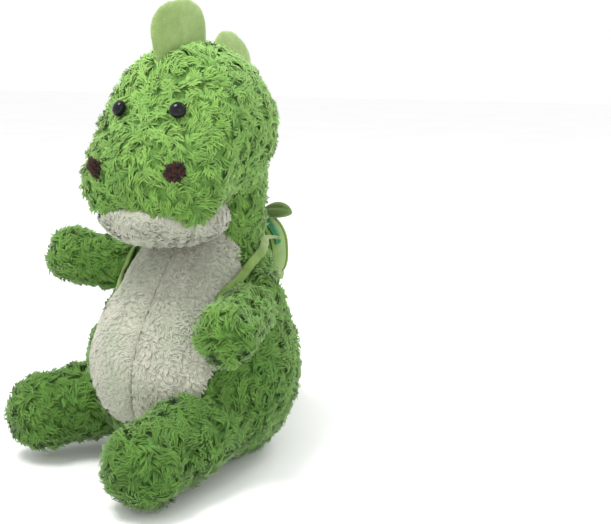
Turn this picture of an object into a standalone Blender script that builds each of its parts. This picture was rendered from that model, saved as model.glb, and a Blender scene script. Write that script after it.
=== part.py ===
"""A sitting plush dinosaur with a small avocado-shaped backpack.

Metres, +Z up. The toy faces -Y, its left side is +X, and it sits on the plane Z = 0.
Each padded limb is a turned or lofted skin over its own filling, with a ball-shaped root that
turns in a matching socket of the torso.
"""

from math import cos, pi, radians, sin, sqrt

import bmesh
import bpy
from mathutils import Matrix, Vector

# Driving dimensions, in metres
FABRIC = 0.0022
GAP = 0.0006
HEAD_GAP = 0.0014
SOCKET_PLAY = 0.0015
SWEEP_PLAY = 0.0036
SWEEP_STEP = 0.0005

BELLY_WIDTH = 0.078

NECK_CENTRE = Vector((0.0, 0.029, 0.264))
NECK_RADIUS = 0.0592
COLLAR_RADIUS = 0.0665
COLLAR_FOOT = 0.266
COLLAR_TOP = 0.335
HEAD_BACK = -12.0
HEAD_DOWN = 8.0

SHOULDER_RADIUS = 0.035
SHOULDERS = {"left": Vector((0.076, 0.006, 0.178)), "right": Vector((-0.074, 0.003, 0.195))}
ARM_TIPS = {"left": Vector((0.101, -0.095, 0.1625)), "right": Vector((-0.138, -0.036, 0.213))}

HIP_RADIUS = 0.053
HIPS = {"left": Vector((0.066, -0.032, 0.064)), "right": Vector((-0.066, -0.032, 0.064))}
FEET = {"left": Vector((0.057, -0.176, 0.0465)), "right": Vector((-0.127, -0.108, 0.0515))}
LEG_WAIST = 0.048
FOOT_RADIUS = {"left": 0.0465, "right": 0.0465}
ARM_WAIST = 0.034
ARM_SWEEP = {"left": (0.0, 10.0, 20.0), "right": (0.0,)}
HAND_RADIUS = 0.036
TAIL_WAIST = 0.047
TAIL_END = 0.026
LEG_LIFT = 16.0

TAIL_RADIUS = 0.058
TAIL_ROOT = Vector((0.0, 0.082, 0.072))
TAIL_TIP = Vector((-0.040, 0.250, 0.028))
TAIL_LIFT = 12.0

EYE = (0.036, 0.383)
EYE_RADIUS = 0.0085
NOSTRIL = (0.052, 0.323)
NOSTRIL_RADIUS = 0.0125

BAG_CENTRE = Vector((0.0, 0.1090, 0.204))
BAG_TILT = radians(7.0)
BAG_DEPTH = 0.034
BAG_TOP_RADIUS = 0.038
BAG_TOP_RISE = 0.006
BAG_LOW_WIDTH = 0.042
BAG_LOW_HEIGHT = 0.052
BAG_WALL = 0.0020

# Rings of the torso: height, centre in Y, half width and half depth
TORSO_RINGS = (
    (0.000, 0.004, 0.062, 0.060),
    (0.010, 0.004, 0.082, 0.080),
    (0.038, 0.001, 0.105, 0.103),
    (0.075, -0.003, 0.120, 0.119),
    (0.112, -0.004, 0.122, 0.120),
    (0.150, 0.000, 0.110, 0.109),
    (0.188, 0.010, 0.090, 0.091),
    (0.222, 0.022, 0.0740, 0.0740),
    (0.241, 0.027, 0.0630, 0.0625),
    (0.253, 0.029, 0.0580, 0.0580),
    (0.262, 0.029, 0.0588, 0.0588),
)

# Rings of the head from the back to the snout: Y, centre in Z, half width and half height
HEAD_RINGS = (
    (0.092, 0.360, 0.037, 0.036),
    (0.074, 0.358, 0.063, 0.062),
    (0.046, 0.357, 0.080, 0.083),
    (0.014, 0.357, 0.086, 0.093),
    (-0.014, 0.3555, 0.087, 0.0935),
    (-0.036, 0.3510, 0.087, 0.0900),
    (-0.054, 0.338, 0.0865, 0.084),
    (-0.070, 0.3225, 0.086, 0.0725),
    (-0.084, 0.3125, 0.085, 0.0635),
    (-0.098, 0.309, 0.076, 0.0555),
    (-0.108, 0.309, 0.054, 0.040),
    (-0.1125, 0.309, 0.036, 0.027),
)
HEAD_POLES = (Vector((0.0, 0.099, 0.360)), Vector((0.0, -0.1180, 0.309)))
HEAD_CORE = Vector((0.0, -0.016, 0.348))

# Velour spikes: middle of the base, direction outwards, height above the base and length along it
SPIKES = {
    "head_spike_front": ((0.0, -0.016, 0.440), (0.0, -0.20, 1.0), 0.056, 0.082, -10.0),
    "head_spike_middle": ((0.0, 0.068, 0.414), (0.0, 0.72, 1.0), 0.052, 0.070, -8.0),
    "head_spike_rear": ((0.0, 0.094, 0.350), (0.0, 1.0, 0.10), 0.036, 0.068, 0.0),
    "tail_spike_upper": ((-0.014, 0.152, 0.096), (-0.05, 0.15, 1.0), 0.034, 0.038, 0.0),
    "tail_spike_lower": ((-0.024, 0.196, 0.072), (-0.10, 0.20, 1.0), 0.036, 0.042, 0.0),
}
SPIKE_THICKNESS = 0.015


# ---------------------------------------------------------------- helpers


def clear_scene():
    for thing in list(bpy.data.objects):
        bpy.data.objects.remove(thing, do_unlink=True)


def material(name, colour, roughness, metallic=0.0):
    made = bpy.data.materials.new(name)
    made.use_nodes = True
    shader = made.node_tree.nodes["Principled BSDF"]
    shader.inputs["Base Color"].default_value = (*colour, 1.0)
    shader.inputs["Roughness"].default_value = roughness
    shader.inputs["Metallic"].default_value = metallic
    made.diffuse_color = (*colour, 1.0)
    return made


def new_object(name, bm, finish=None, origin=None):
    """Turns a bmesh into a smooth-shaded object; its origin goes to the given point."""
    bmesh.ops.recalc_face_normals(bm, faces=bm.faces[:])
    if origin is not None:
        bmesh.ops.translate(bm, vec=-Vector(origin), verts=bm.verts[:])
    mesh = bpy.data.meshes.new(name)
    bm.to_mesh(mesh)
    bm.free()
    mesh.shade_smooth()
    made = bpy.data.objects.new(name, mesh)
    if origin is not None:
        made.location = origin
    if finish is not None:
        mesh.materials.append(finish)
    bpy.context.scene.collection.objects.link(made)
    return made


def as_cutter(thing):
    thing.hide_render = True
    thing.display_type = "WIRE"
    return thing


def boolean(target, tool, operation="DIFFERENCE"):
    cut = target.modifiers.new(f"{operation.lower()}_{tool.name}", "BOOLEAN")
    cut.operation = operation
    cut.object = tool
    return cut


def bridge(bm, rings):
    """Joins rings of vertices one after the other with quads."""
    for low, high in zip(rings, rings[1:]):
        count = len(low)
        for i in range(count):
            j = (i + 1) % count
            bm.faces.new((low[i], low[j], high[j], high[i]))


def close_ring(bm, ring, pole=None):
    """Caps a ring flat, or with a fan to a pole point."""
    if pole is None:
        bm.faces.new(ring)
        return
    tip = bm.verts.new(pole)
    for i, vert in enumerate(ring):
        bm.faces.new((vert, ring[(i + 1) % len(ring)], tip))


def frame_along(direction):
    """Two unit vectors at right angles to a direction."""
    along = Vector(direction).normalized()
    helper = Vector((0, 0, 1)) if abs(along.z) < 0.9 else Vector((1, 0, 0))
    side = along.cross(helper).normalized()
    return side, side.cross(along).normalized()


def turned(start, direction, profile, segments):
    """A closed body of revolution; the profile lists distance along the axis and radius."""
    along = Vector(direction).normalized()
    side, up = frame_along(along)
    bm = bmesh.new()
    rings = []
    poles = []
    for distance, radius in profile:
        centre = Vector(start) + along * distance
        if radius == 0.0:
            poles.append(centre)
            continue
        ring = []
        for i in range(segments):
            angle = 2 * pi * i / segments
            ring.append(bm.verts.new(centre + (side * cos(angle) + up * sin(angle)) * radius))
        rings.append(ring)
    bridge(bm, rings)
    close_ring(bm, rings[0], poles[0])
    close_ring(bm, rings[-1], poles[-1])
    return bm


def ball(centre, radius, segments=18, rings=10, stretch=(1.0, 1.0, 1.0), turn=None):
    bm = bmesh.new()
    place = Matrix.Translation(Vector(centre))
    if turn is not None:
        place = place @ turn
    place = place @ Matrix.Diagonal((*stretch, 1.0))
    bmesh.ops.create_uvsphere(bm, u_segments=segments, v_segments=rings, radius=radius, matrix=place)
    return bm


def rod(start, end, radius, segments=14):
    length = (Vector(end) - Vector(start)).length
    return turned(start, Vector(end) - Vector(start),
                  ((0.0, 0.0), (0.0, radius), (length, radius), (length, 0.0)), segments)


# ---------------------------------------------------------------- torso


def torso_surface(inset, top_cap, segments=24):
    """The torso's lofted outline, moved inwards by an inset; the neck's dome closes its top."""
    bm = bmesh.new()
    rings = []
    for height, centre_y, half_width, half_depth in TORSO_RINGS:
        level = max(height, inset)
        ring = []
        for i in range(segments):
            angle = 2 * pi * (i + 0.5) / segments
            ring.append(bm.verts.new((
                (half_width - inset) * cos(angle),
                centre_y + (half_depth - inset) * sin(angle),
                level,
            )))
        rings.append(ring)
    if top_cap:
        for lift in (15, 35, 55, 74):
            ring = []
            for i in range(segments):
                angle = 2 * pi * (i + 0.5) / segments
                reach = NECK_RADIUS * cos(radians(lift))
                ring.append(bm.verts.new(NECK_CENTRE + Vector((
                    reach * cos(angle), reach * sin(angle), NECK_RADIUS * sin(radians(lift)))))
                )
            rings.append(ring)
    bridge(bm, rings)
    close_ring(bm, rings[0])
    if top_cap:
        close_ring(bm, rings[-1], NECK_CENTRE + Vector((0, 0, NECK_RADIUS)))
    return bm, rings


def torso_shell(segments=24):
    """An open-necked skin: outer wall up, rim, inner wall down."""
    bm, outer = torso_surface(0.0, False, segments)
    inner = []
    for height, centre_y, half_width, half_depth in reversed(TORSO_RINGS):
        level = max(height, FABRIC)
        ring = []
        for i in range(segments):
            angle = 2 * pi * (i + 0.5) / segments
            ring.append(bm.verts.new((
                (half_width - FABRIC) * cos(angle),
                centre_y + (half_depth - FABRIC) * sin(angle),
                level,
            )))
        inner.append(ring)
    bridge(bm, [outer[-1], *inner])
    close_ring(bm, inner[-1])
    return bm


def belly_outline(grow):
    """An egg-shaped prism along Y in front of the chest and belly."""
    bm = bmesh.new()
    count = 22
    near = []
    far = []
    for i in range(count):
        angle = 2 * pi * i / count
        rise = sin(angle)
        width = BELLY_WIDTH - 0.012 * rise + grow
        height = (0.106 + grow) * rise
        squareness = 0.65 if rise > 0.0 else 1.0
        x = width * abs(cos(angle)) ** squareness * (1.0 if cos(angle) > 0.0 else -1.0)
        z = 0.160 + height
        near.append(bm.verts.new((x, -0.200, z)))
        far.append(bm.verts.new((x, grow - 0.012, z)))
    bridge(bm, [near, far])
    close_ring(bm, near)
    close_ring(bm, far)
    return bm


def half_space(name, side):
    """A box that covers everything beyond the middle seam on one side."""
    bm = bmesh.new()
    bmesh.ops.create_cube(bm, size=1.0)
    bmesh.ops.scale(bm, vec=(0.4, 0.6, 0.8), verts=bm.verts[:])
    bmesh.ops.translate(bm, vec=(side * (0.2 - GAP / 2), 0.0, 0.2), verts=bm.verts[:])
    return as_cutter(new_object(name, bm))


# ---------------------------------------------------------------- limbs


def limb_profile(root_radius, length, waist, end_radius, inset=0.0):
    """Ball root, a slight waist, then a rounded end, as distance along the axis and radius."""
    points = [(-(root_radius - inset), 0.0)]
    for turn in (-55, -25, 5, 32):
        points.append(((root_radius - inset) * sin(radians(turn)), (root_radius - inset) * cos(radians(turn))))
    middle = 0.55 * (length - end_radius)
    points.append((max(middle, root_radius * 0.75), waist - inset))
    for turn in (-22, 10, 42, 68):
        points.append((
            length - end_radius + (end_radius - inset) * sin(radians(turn)),
            (end_radius - inset) * cos(radians(turn)),
        ))
    points.append((length - inset, 0.0))
    return points


def skin_cup(start, direction, outer, inner, segments):
    """A turned cup whose open end faces the root."""
    along = Vector(direction).normalized()
    side, up = frame_along(along)
    bm = bmesh.new()

    def ring_at(distance, radius):
        centre = Vector(start) + along * distance
        return [
            bm.verts.new(centre + (side * cos(2 * pi * i / segments) + up * sin(2 * pi * i / segments)) * radius)
            for i in range(segments)
        ]

    outer_rings = [ring_at(*point) for point in outer[:-1]]
    inner_rings = [ring_at(*point) for point in inner[:-1]]
    bridge(bm, outer_rings)
    bridge(bm, inner_rings[::-1])
    bridge(bm, [inner_rings[0], outer_rings[0]])
    close_ring(bm, outer_rings[-1], Vector(start) + along * outer[-1][0])
    close_ring(bm, inner_rings[-1], Vector(start) + along * inner[-1][0])
    return bm


def make_limb(name, root, tip, root_radius, waist, end_radius, skin_finish, filling_finish, segments=16):
    """A skin cup over a filling whose ball-shaped root turns in the torso's socket."""
    direction = tip - root
    length = direction.length + end_radius
    full = limb_profile(root_radius, length, waist, end_radius)
    under = limb_profile(root_radius, length, waist, end_radius, FABRIC)
    core = limb_profile(root_radius, length, waist, end_radius, FABRIC + GAP)
    rim = 3
    skin = new_object(f"{name}_skin", skin_cup(root, direction, full[rim:], under[rim:], segments),
                      skin_finish, root)
    filling = new_object(f"{name}_filling", turned(root, direction, core, segments), filling_finish, root)
    grown = limb_profile(root_radius + SWEEP_PLAY, length + SWEEP_PLAY, waist + SWEEP_PLAY,
                         end_radius + SWEEP_PLAY)
    return skin, filling, grown


def sweep_cutters(name, root, direction, profile, axis, angles, segments=12):
    """The limb's outline at several angles, for clearing its way through the torso."""
    made = []
    for number, angle in enumerate(angles):
        turned_direction = Matrix.Rotation(radians(angle), 3, Vector(axis)) @ Vector(direction)
        shrink = SWEEP_STEP * number
        outline = [(distance + shrink if radius == 0.0 else distance, max(radius - shrink, 0.0))
                   for distance, radius in profile[:5]] + profile[5:]
        bm = turned(root, turned_direction, outline, segments)
        made.append(as_cutter(new_object(f"cut_{name}_{number}", bm)))
    return made


# ---------------------------------------------------------------- head


def head_solid(inset, segments=24):
    """The lofted head, cranium and snout in one, moved inwards (or outwards) by an inset."""
    bm = bmesh.new()
    rings = []
    for y, centre_z, half_width, half_height in HEAD_RINGS:
        ring = []
        for i in range(segments):
            angle = 2 * pi * (i + 0.5) / segments
            ring.append(bm.verts.new((
                (half_width - inset) * cos(angle), y, centre_z + (half_height - inset) * sin(angle))))
        rings.append(ring)
    bridge(bm, rings)
    back, front = HEAD_POLES
    close_ring(bm, rings[0], back - Vector((0, inset, 0)))
    close_ring(bm, rings[-1], front + Vector((0, inset, 0)))
    return bm


def collar(name, inset):
    """The short neck that belongs to the head."""
    radius = COLLAR_RADIUS - inset
    bm = turned((NECK_CENTRE.x, NECK_CENTRE.y, COLLAR_FOOT + inset), (0, 0, 1), (
        (0.0, 0.0), (0.0, radius), (COLLAR_TOP - COLLAR_FOOT - inset, radius * 0.96),
        (COLLAR_TOP - COLLAR_FOOT - inset + 0.002, 0.0)), 24)
    return as_cutter(new_object(name, bm))


def head_section(y):
    """Centre height, half width and half height of the head at a place along Y."""
    behind = [ring for ring in HEAD_RINGS if ring[0] >= y][-1]
    ahead = [ring for ring in HEAD_RINGS if ring[0] < y][0]
    share = (y - behind[0]) / (ahead[0] - behind[0])
    return [behind[k] + (ahead[k] - behind[k]) * share for k in (1, 2, 3)]


def on_face(x, z):
    """The point of the face's surface at a place in X and Z, found by halving the interval in Y."""
    front, back = HEAD_RINGS[-1][0] + 0.0001, 0.0
    for _ in range(30):
        middle = 0.5 * (front + back)
        centre_z, width, height = head_section(middle)
        if (x / width) ** 2 + ((z - centre_z) / height) ** 2 > 1.0:
            front = middle
        else:
            back = middle
    return Vector((x, back, z))


def patch_on_head(name, centre, radius, thickness, finish, head_cutter):
    """A flat round pad sewn on the head, its underside following the head."""
    outwards = (centre - HEAD_CORE).normalized()
    turn = outwards.to_track_quat("Z", "Y").to_matrix().to_4x4()
    bm = ball(centre, radius, 16, 8, (1.0, 1.0, thickness / radius), turn)
    pad = new_object(name, bm, finish)
    boolean(pad, head_cutter)
    return pad


def petal(name, base, direction, height, width, twist, finish, thickness=SPIKE_THICKNESS):
    """A padded fin in the middle plane: a rounded leaf standing on its base."""
    up = Vector(direction).normalized()
    across = Matrix.Rotation(radians(twist), 3, up) @ Vector((1, 0, 0))
    along = up.cross(across).normalized()
    bm = bmesh.new()
    rings = []
    segments = 14
    levels = ((-0.16, 0.66, 0.80), (0.10, 0.86, 1.0), (0.36, 1.0, 1.0), (0.62, 0.93, 0.92), (0.84, 0.66, 0.74),
              (0.96, 0.34, 0.48))
    for share, spread, pad in levels:
        ring = []
        for i in range(segments):
            angle = 2 * pi * i / segments
            ring.append(bm.verts.new(
                Vector(base) + up * (height * share)
                + along * (0.5 * width * spread * cos(angle))
                + across * (0.5 * thickness * pad * sin(angle))))
        rings.append(ring)
    bridge(bm, rings)
    close_ring(bm, rings[0])
    close_ring(bm, rings[-1], Vector(base) + up * height)
    return new_object(name, bm, finish)


# ---------------------------------------------------------------- backpack


def bag_frame():
    """Bag axes as a matrix: X across, Y outwards from the back, Z up along the bag."""
    return Matrix.Translation(BAG_CENTRE) @ Matrix.Rotation(BAG_TILT, 4, "X")


def avocado(angle, inset=0.0):
    """Outline point of the bag: a round top of constant radius over a fuller lower end."""
    rise = sin(angle)
    if rise >= 0.0:
        reach = BAG_TOP_RADIUS - inset
        return reach * cos(angle), BAG_TOP_RISE + reach * rise
    swell = (BAG_LOW_WIDTH - BAG_TOP_RADIUS) * sin(2 * angle) ** 2
    width = BAG_TOP_RADIUS + swell - inset
    return width * cos(angle), BAG_TOP_RISE + (BAG_LOW_HEIGHT - inset) * rise


def outline_ring(bm, depth, inset=0.0, segments=32):
    ring = []
    for i in range(segments):
        x, z = avocado(2 * pi * i / segments, inset)
        ring.append(bm.verts.new((x, depth, z)))
    return ring


def bag_solid(name, levels, finish, closed=True):
    """Stacks outline rings (depth, inset) and closes both ends flat."""
    bm = bmesh.new()
    rings = [outline_ring(bm, depth, inset) for depth, inset in levels]
    bridge(bm, rings)
    if closed:
        close_ring(bm, rings[0])
        close_ring(bm, rings[-1])
    else:
        bridge(bm, [rings[-1], rings[0]])
    bmesh.ops.transform(bm, matrix=bag_frame(), verts=bm.verts[:])
    return new_object(name, bm, finish)


def build_bag(finishes):
    front = BAG_DEPTH
    bag_solid("bag_back_panel", ((0.0, 0.003), (0.0018, 0.003)), finishes["olive"])
    gusset_levels = (
        (0.0022, 0.0008), (0.0022, 0.0008 + BAG_WALL), (front - 0.0006, 0.0008 + BAG_WALL),
        (front - 0.0006, 0.0008), (front * 0.5, -0.0006),
    )
    bag_solid("bag_gusset", gusset_levels, finishes["olive"], closed=False)
    bag_solid("bag_front_panel", (
        (front, 0.0), (front + 0.0030, -0.0006), (front + 0.0065, 0.0030), (front + 0.0085, 0.0100),
        (front + 0.0095, 0.0200)), finishes["lime"])
    pit = turned((0, front + 0.0101, -0.004), (0, 1, 0), (
        (0.0, 0.0), (0.0, 0.0215), (0.0024, 0.0205), (0.0046, 0.0165), (0.0060, 0.0090), (0.0064, 0.0)), 24)
    bmesh.ops.transform(pit, matrix=bag_frame(), verts=pit.verts[:])
    new_object("bag_pit_patch", pit, finishes["brown"])
    build_zip(finishes)
    build_bag_top(finishes)


ZIP_DEPTH = 0.013
ZIP_FROM = radians(8)
ZIP_TO = radians(172)


def arc_band(name, start, end, depth, width, inner, outer, finish, steps):
    """A band on the round top of the bag, from one angle to another, as one closed solid."""
    bm = bmesh.new()
    rings = []
    for i in range(steps + 1):
        angle = start + (end - start) * i / steps
        ring = []
        for radius, offset in ((inner, -width / 2), (outer, -width / 2), (outer, width / 2), (inner, width / 2)):
            ring.append(bm.verts.new((
                radius * cos(angle), depth + offset, BAG_TOP_RISE + radius * sin(angle))))
        rings.append(ring)
    bridge(bm, rings)
    close_ring(bm, rings[0])
    close_ring(bm, rings[-1])
    bmesh.ops.transform(bm, matrix=bag_frame(), verts=bm.verts[:])
    return bm if finish is None else new_object(name, bm, finish)


def build_zip(finishes):
    """The zip tape with its teeth, the slider at its closed end, and the pull hanging from it."""
    skin = BAG_TOP_RADIUS + 0.0012
    arc_band("zip_tape", ZIP_FROM, ZIP_TO, ZIP_DEPTH, 0.009, skin, skin + 0.0012, finishes["teal"], 22)
    slider = arc_band("zip_slider", ZIP_TO - radians(13), ZIP_TO - radians(2), ZIP_DEPTH, 0.007,
                      skin + 0.0017, skin + 0.0042, None, 3)
    new_object("zip_slider", slider, finishes["metal"], bag_frame() @ Vector((0, ZIP_DEPTH, BAG_TOP_RISE)))
    pull_pin = pull_hinge()
    bm = bmesh.new()
    bmesh.ops.create_cube(bm, size=1.0)
    bmesh.ops.scale(bm, vec=(0.0014, 0.0050, 0.018), verts=bm.verts[:])
    bmesh.ops.translate(bm, vec=(0.0, 0.0, -0.0095), verts=bm.verts[:])
    bmesh.ops.transform(bm, matrix=Matrix.Translation(pull_pin), verts=bm.verts[:])
    new_object("zip_pull", bm, finishes["teal"], pull_pin)


def pull_hinge():
    """Where the pull hangs from the slider, just outside it."""
    angle = ZIP_TO - radians(7.5)
    radius = BAG_TOP_RADIUS + 0.0095
    return bag_frame() @ Vector((radius * cos(angle), ZIP_DEPTH, BAG_TOP_RISE + radius * sin(angle)))


LEAF_ROOT = Vector((0.010, 0.0275, BAG_TOP_RISE + BAG_TOP_RADIUS + 0.0030))


def build_bag_top(finishes):
    """The stem on top of the bag and the padded leaf beside it."""
    foot = bag_frame() @ Vector((-0.002, 0.0275, BAG_TOP_RISE + BAG_TOP_RADIUS + 0.0012))
    lean = bag_frame().to_3x3() @ Vector((-0.10, 0.05, 1.0))
    bm = turned(foot, lean, ((0.0, 0.0), (0.0, 0.0052), (0.009, 0.0044), (0.019, 0.0052), (0.0225, 0.0038),
                             (0.0235, 0.0)), 12)
    new_object("bag_stem", bm, finishes["brown"])
    root = bag_frame() @ LEAF_ROOT
    reach = (bag_frame().to_3x3() @ Vector((1.0, 0.10, 0.10))).normalized()
    up = Vector((0, 0, 1))
    thick = up - reach * up.dot(reach)
    thick.normalize()
    wide = thick.cross(reach)
    bm = bmesh.new()
    rings = []
    for share, spread in ((0.02, 0.34), (0.20, 0.78), (0.45, 1.0), (0.70, 0.84), (0.90, 0.42)):
        ring = []
        for i in range(12):
            angle = 2 * pi * i / 12
            ring.append(bm.verts.new(
                root + reach * (0.034 * share + 0.001) + wide * (0.0105 * spread * cos(angle))
                + thick * (0.0030 * sqrt(spread) * sin(angle))))
        rings.append(ring)
    bridge(bm, rings)
    close_ring(bm, rings[0])
    close_ring(bm, rings[-1], root + reach * 0.036)
    new_object("bag_leaf", bm, finishes["leaf"], root)


# The strap's route on the left side, from the top of the bag over the shoulder and back below the arm
STRAP_ROUTE = (
    (0.0425, 0.1110, 0.224), (0.048, 0.094, 0.229), (0.058, 0.072, 0.232), (0.069, 0.046, 0.232),
    (0.0775, 0.018, 0.228), (0.0770, -0.008, 0.217), (0.074, -0.028, 0.203), (0.066, -0.048, 0.190),
    (0.062, -0.058, 0.172), (0.072, -0.056, 0.151), (0.086, -0.036, 0.137), (0.098, -0.006, 0.135),
    (0.103, 0.018, 0.143), (0.099, 0.034, 0.158), (0.090, 0.046, 0.172), (0.073, 0.072, 0.180),
    (0.056, 0.096, 0.182), (0.0450, 0.1165, 0.180))
STRAP_WIDTH = 0.009
STRAP_THICKNESS = 0.0016
STRAP_CLEARANCE = 0.0058
ARM_PLAY = 0.0050


def smooth_route(points, steps):
    """A smooth curve through the route's points."""
    points = [Vector(point) for point in points]
    padded = [2 * points[0] - points[1], *points, 2 * points[-1] - points[-2]]
    made = []
    for before, a, b, after in zip(padded, padded[1:], padded[2:], padded[3:]):
        for step in range(steps):
            t = step / steps
            made.append(0.5 * (2 * a + (b - before) * t + (2 * before - 5 * a + 4 * b - after) * t * t
                               + (3 * a - before - 3 * b + after) * t ** 3))
    made.append(points[-1])
    return made


def clear_of_body(point, side, margin):
    """Moves a strap point out of the torso and out of the arm."""
    point = Vector(point)
    for _ in range(6):
        lower = [ring for ring in TORSO_RINGS if ring[0] <= point.z][-1]
        upper = [ring for ring in TORSO_RINGS if ring[0] > point.z][0]
        share = (point.z - lower[0]) / (upper[0] - lower[0])
        centre_y, width, depth = (lower[k] + (upper[k] - lower[k]) * share for k in (1, 2, 3))
        reach = sqrt((point.x / (width + margin)) ** 2 + ((point.y - centre_y) / (depth + margin)) ** 2)
        if reach < 1.0:
            point.x /= reach
            point.y = centre_y + (point.y - centre_y) / reach
        shoulder = SHOULDERS[side]
        arm = ARM_TIPS[side] - shoulder
        along = min(max((point - shoulder).dot(arm) / arm.length_squared, 0.0), 1.0)
        away = point - (shoulder + arm * along)
        clear = SHOULDER_RADIUS + margin + ARM_PLAY
        if away.length < clear:
            point = point + away.normalized() * (clear - away.length)
    return point


def build_strap(name, side, finish):
    """A flat strap swept along its route, its face turned to the shoulder's middle."""
    sign = 1.0 if side == "left" else -1.0
    route = [clear_of_body((sign * x, y, z), side, STRAP_CLEARANCE + 0.002) for x, y, z in STRAP_ROUTE]
    line = [clear_of_body(point, side, STRAP_CLEARANCE) for point in smooth_route(route, 3)]
    middle = Vector((sign * 0.050, 0.030, 0.198))
    bm = bmesh.new()
    rings = []
    for number, point in enumerate(line):
        ahead = line[min(number + 1, len(line) - 1)] - line[max(number - 1, 0)]
        ahead.normalize()
        out = point - middle
        out = (out - ahead * out.dot(ahead)).normalized()
        wide = ahead.cross(out)
        ring = []
        for across, lift in ((-0.5, 0.0), (0.5, 0.0), (0.5, 1.0), (-0.5, 1.0)):
            ring.append(bm.verts.new(point + wide * (STRAP_WIDTH * across) + out * (STRAP_THICKNESS * lift)))
        rings.append(ring)
    bridge(bm, rings)
    close_ring(bm, rings[0])
    close_ring(bm, rings[-1])
    return new_object(name, bm, finish)


# ---------------------------------------------------------------- assembly


def limb_axis(root, tip, tilt):
    """The hinge axis of a limb: level and square to it, then tilted about the limb."""
    direction = (tip - root).normalized()
    level = direction.cross(Vector((0, 0, 1))).normalized()
    return Matrix.Rotation(radians(tilt), 3, direction) @ level


def finishes():
    return {
        "pile": material("green_pile", (0.110, 0.300, 0.060), 0.95),
        "belly": material("white_pile", (0.780, 0.750, 0.680), 0.95),
        "spike": material("spike_velour", (0.360, 0.560, 0.160), 0.80),
        "filling": material("fibre_filling", (0.850, 0.850, 0.830), 0.95),
        "eye": material("black_eye", (0.008, 0.007, 0.007), 0.08),
        "washer": material("eye_washer", (0.700, 0.700, 0.690), 0.50),
        "nostril": material("nostril_pile", (0.050, 0.022, 0.015), 0.95),
        "lime": material("lime_velour", (0.500, 0.640, 0.180), 0.80),
        "olive": material("olive_velour", (0.240, 0.350, 0.070), 0.85),
        "brown": material("brown_velour", (0.070, 0.028, 0.014), 0.90),
        "teal": material("zip_tape_green", (0.010, 0.190, 0.080), 0.75),
        "metal": material("zip_metal", (0.400, 0.420, 0.400), 0.35, 0.9),
        "leaf": material("leaf_velour", (0.200, 0.360, 0.110), 0.85),
    }


def build_torso(looks, cutters):
    skin = new_object("torso_skin", torso_shell(), looks["pile"])
    filling_surface, _ = torso_surface(FABRIC + GAP, True)
    filling = new_object("torso_filling", filling_surface, looks["filling"])
    panel_cutter = as_cutter(new_object("cut_belly", belly_outline(GAP)))
    panel_shape = as_cutter(new_object("shape_belly", belly_outline(0.0)))
    boolean(skin, panel_cutter)
    panels = []
    for side, sign in (("left", 1.0), ("right", -1.0)):
        panel = new_object(f"belly_panel_{side}", torso_shell(), looks["belly"])
        boolean(panel, panel_shape, "INTERSECT")
        boolean(panel, half_space(f"half_{side}", -sign))
        panels.append(panel)
    for thing in (skin, filling, *panels):
        for cutter in cutters:
            boolean(thing, cutter)


def build_head(looks):
    recess = as_cutter(new_object("cut_neck", ball(NECK_CENTRE, NECK_RADIUS + SOCKET_PLAY, 24, 14)))
    inner = as_cutter(new_object("cut_head_inside", head_solid(FABRIC)))
    outer = as_cutter(new_object("cut_head_outside", head_solid(-HEAD_GAP)))
    boolean(outer, collar("collar_outside", -HEAD_GAP), "UNION")
    skin = new_object("head_skin", head_solid(0.0), looks["pile"])
    filling = new_object("head_filling", head_solid(FABRIC + HEAD_GAP), looks["filling"])
    boolean(skin, collar("collar_skin", 0.0), "UNION")
    boolean(filling, collar("collar_filling", FABRIC + HEAD_GAP), "UNION")
    boolean(skin, recess)
    boolean(filling, recess)
    boolean(inner, collar("collar_inside", FABRIC), "UNION")
    boolean(skin, inner)
    build_jaw(looks, outer, recess)
    for side, sign in (("left", 1.0), ("right", -1.0)):
        place = on_face(sign * EYE[0], EYE[1])
        build_eye(looks, side, place, skin, filling)
        spot = on_face(sign * NOSTRIL[0], NOSTRIL[1])
        patch_on_head(f"nostril_{side}", spot, NOSTRIL_RADIUS, 0.0045, looks["nostril"], outer)
    return outer


JAW_CENTRE = Vector((0.0, -0.055, 0.270))
JAW_STRETCH = (0.073, 0.062, 0.032)


def build_jaw(looks, head_outside, recess):
    """The white chin pad below the snout, clear of the chest at every angle of the neck."""
    bm = ball(JAW_CENTRE, 1.0, 24, 14, JAW_STRETCH)
    jaw = new_object("lower_jaw", bm, looks["belly"])
    boolean(jaw, head_outside)
    for number, angle in enumerate((0.0, -HEAD_DOWN * 0.5, -HEAD_DOWN - 1.5)):
        surface, _ = torso_surface(-SWEEP_PLAY, False)
        back = Matrix.Translation(NECK_CENTRE) @ Matrix.Rotation(radians(angle), 4, "X")
        bmesh.ops.transform(surface, matrix=back @ Matrix.Translation(-NECK_CENTRE), verts=surface.verts[:])
        close_open_top(surface)
        boolean(jaw, as_cutter(new_object(f"cut_chest_{number}", surface)))
    boolean(jaw, recess)


def close_open_top(bm):
    edges = [edge for edge in bm.edges if len(edge.link_faces) == 1]
    bmesh.ops.contextual_create(bm, geom=edges)


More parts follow.
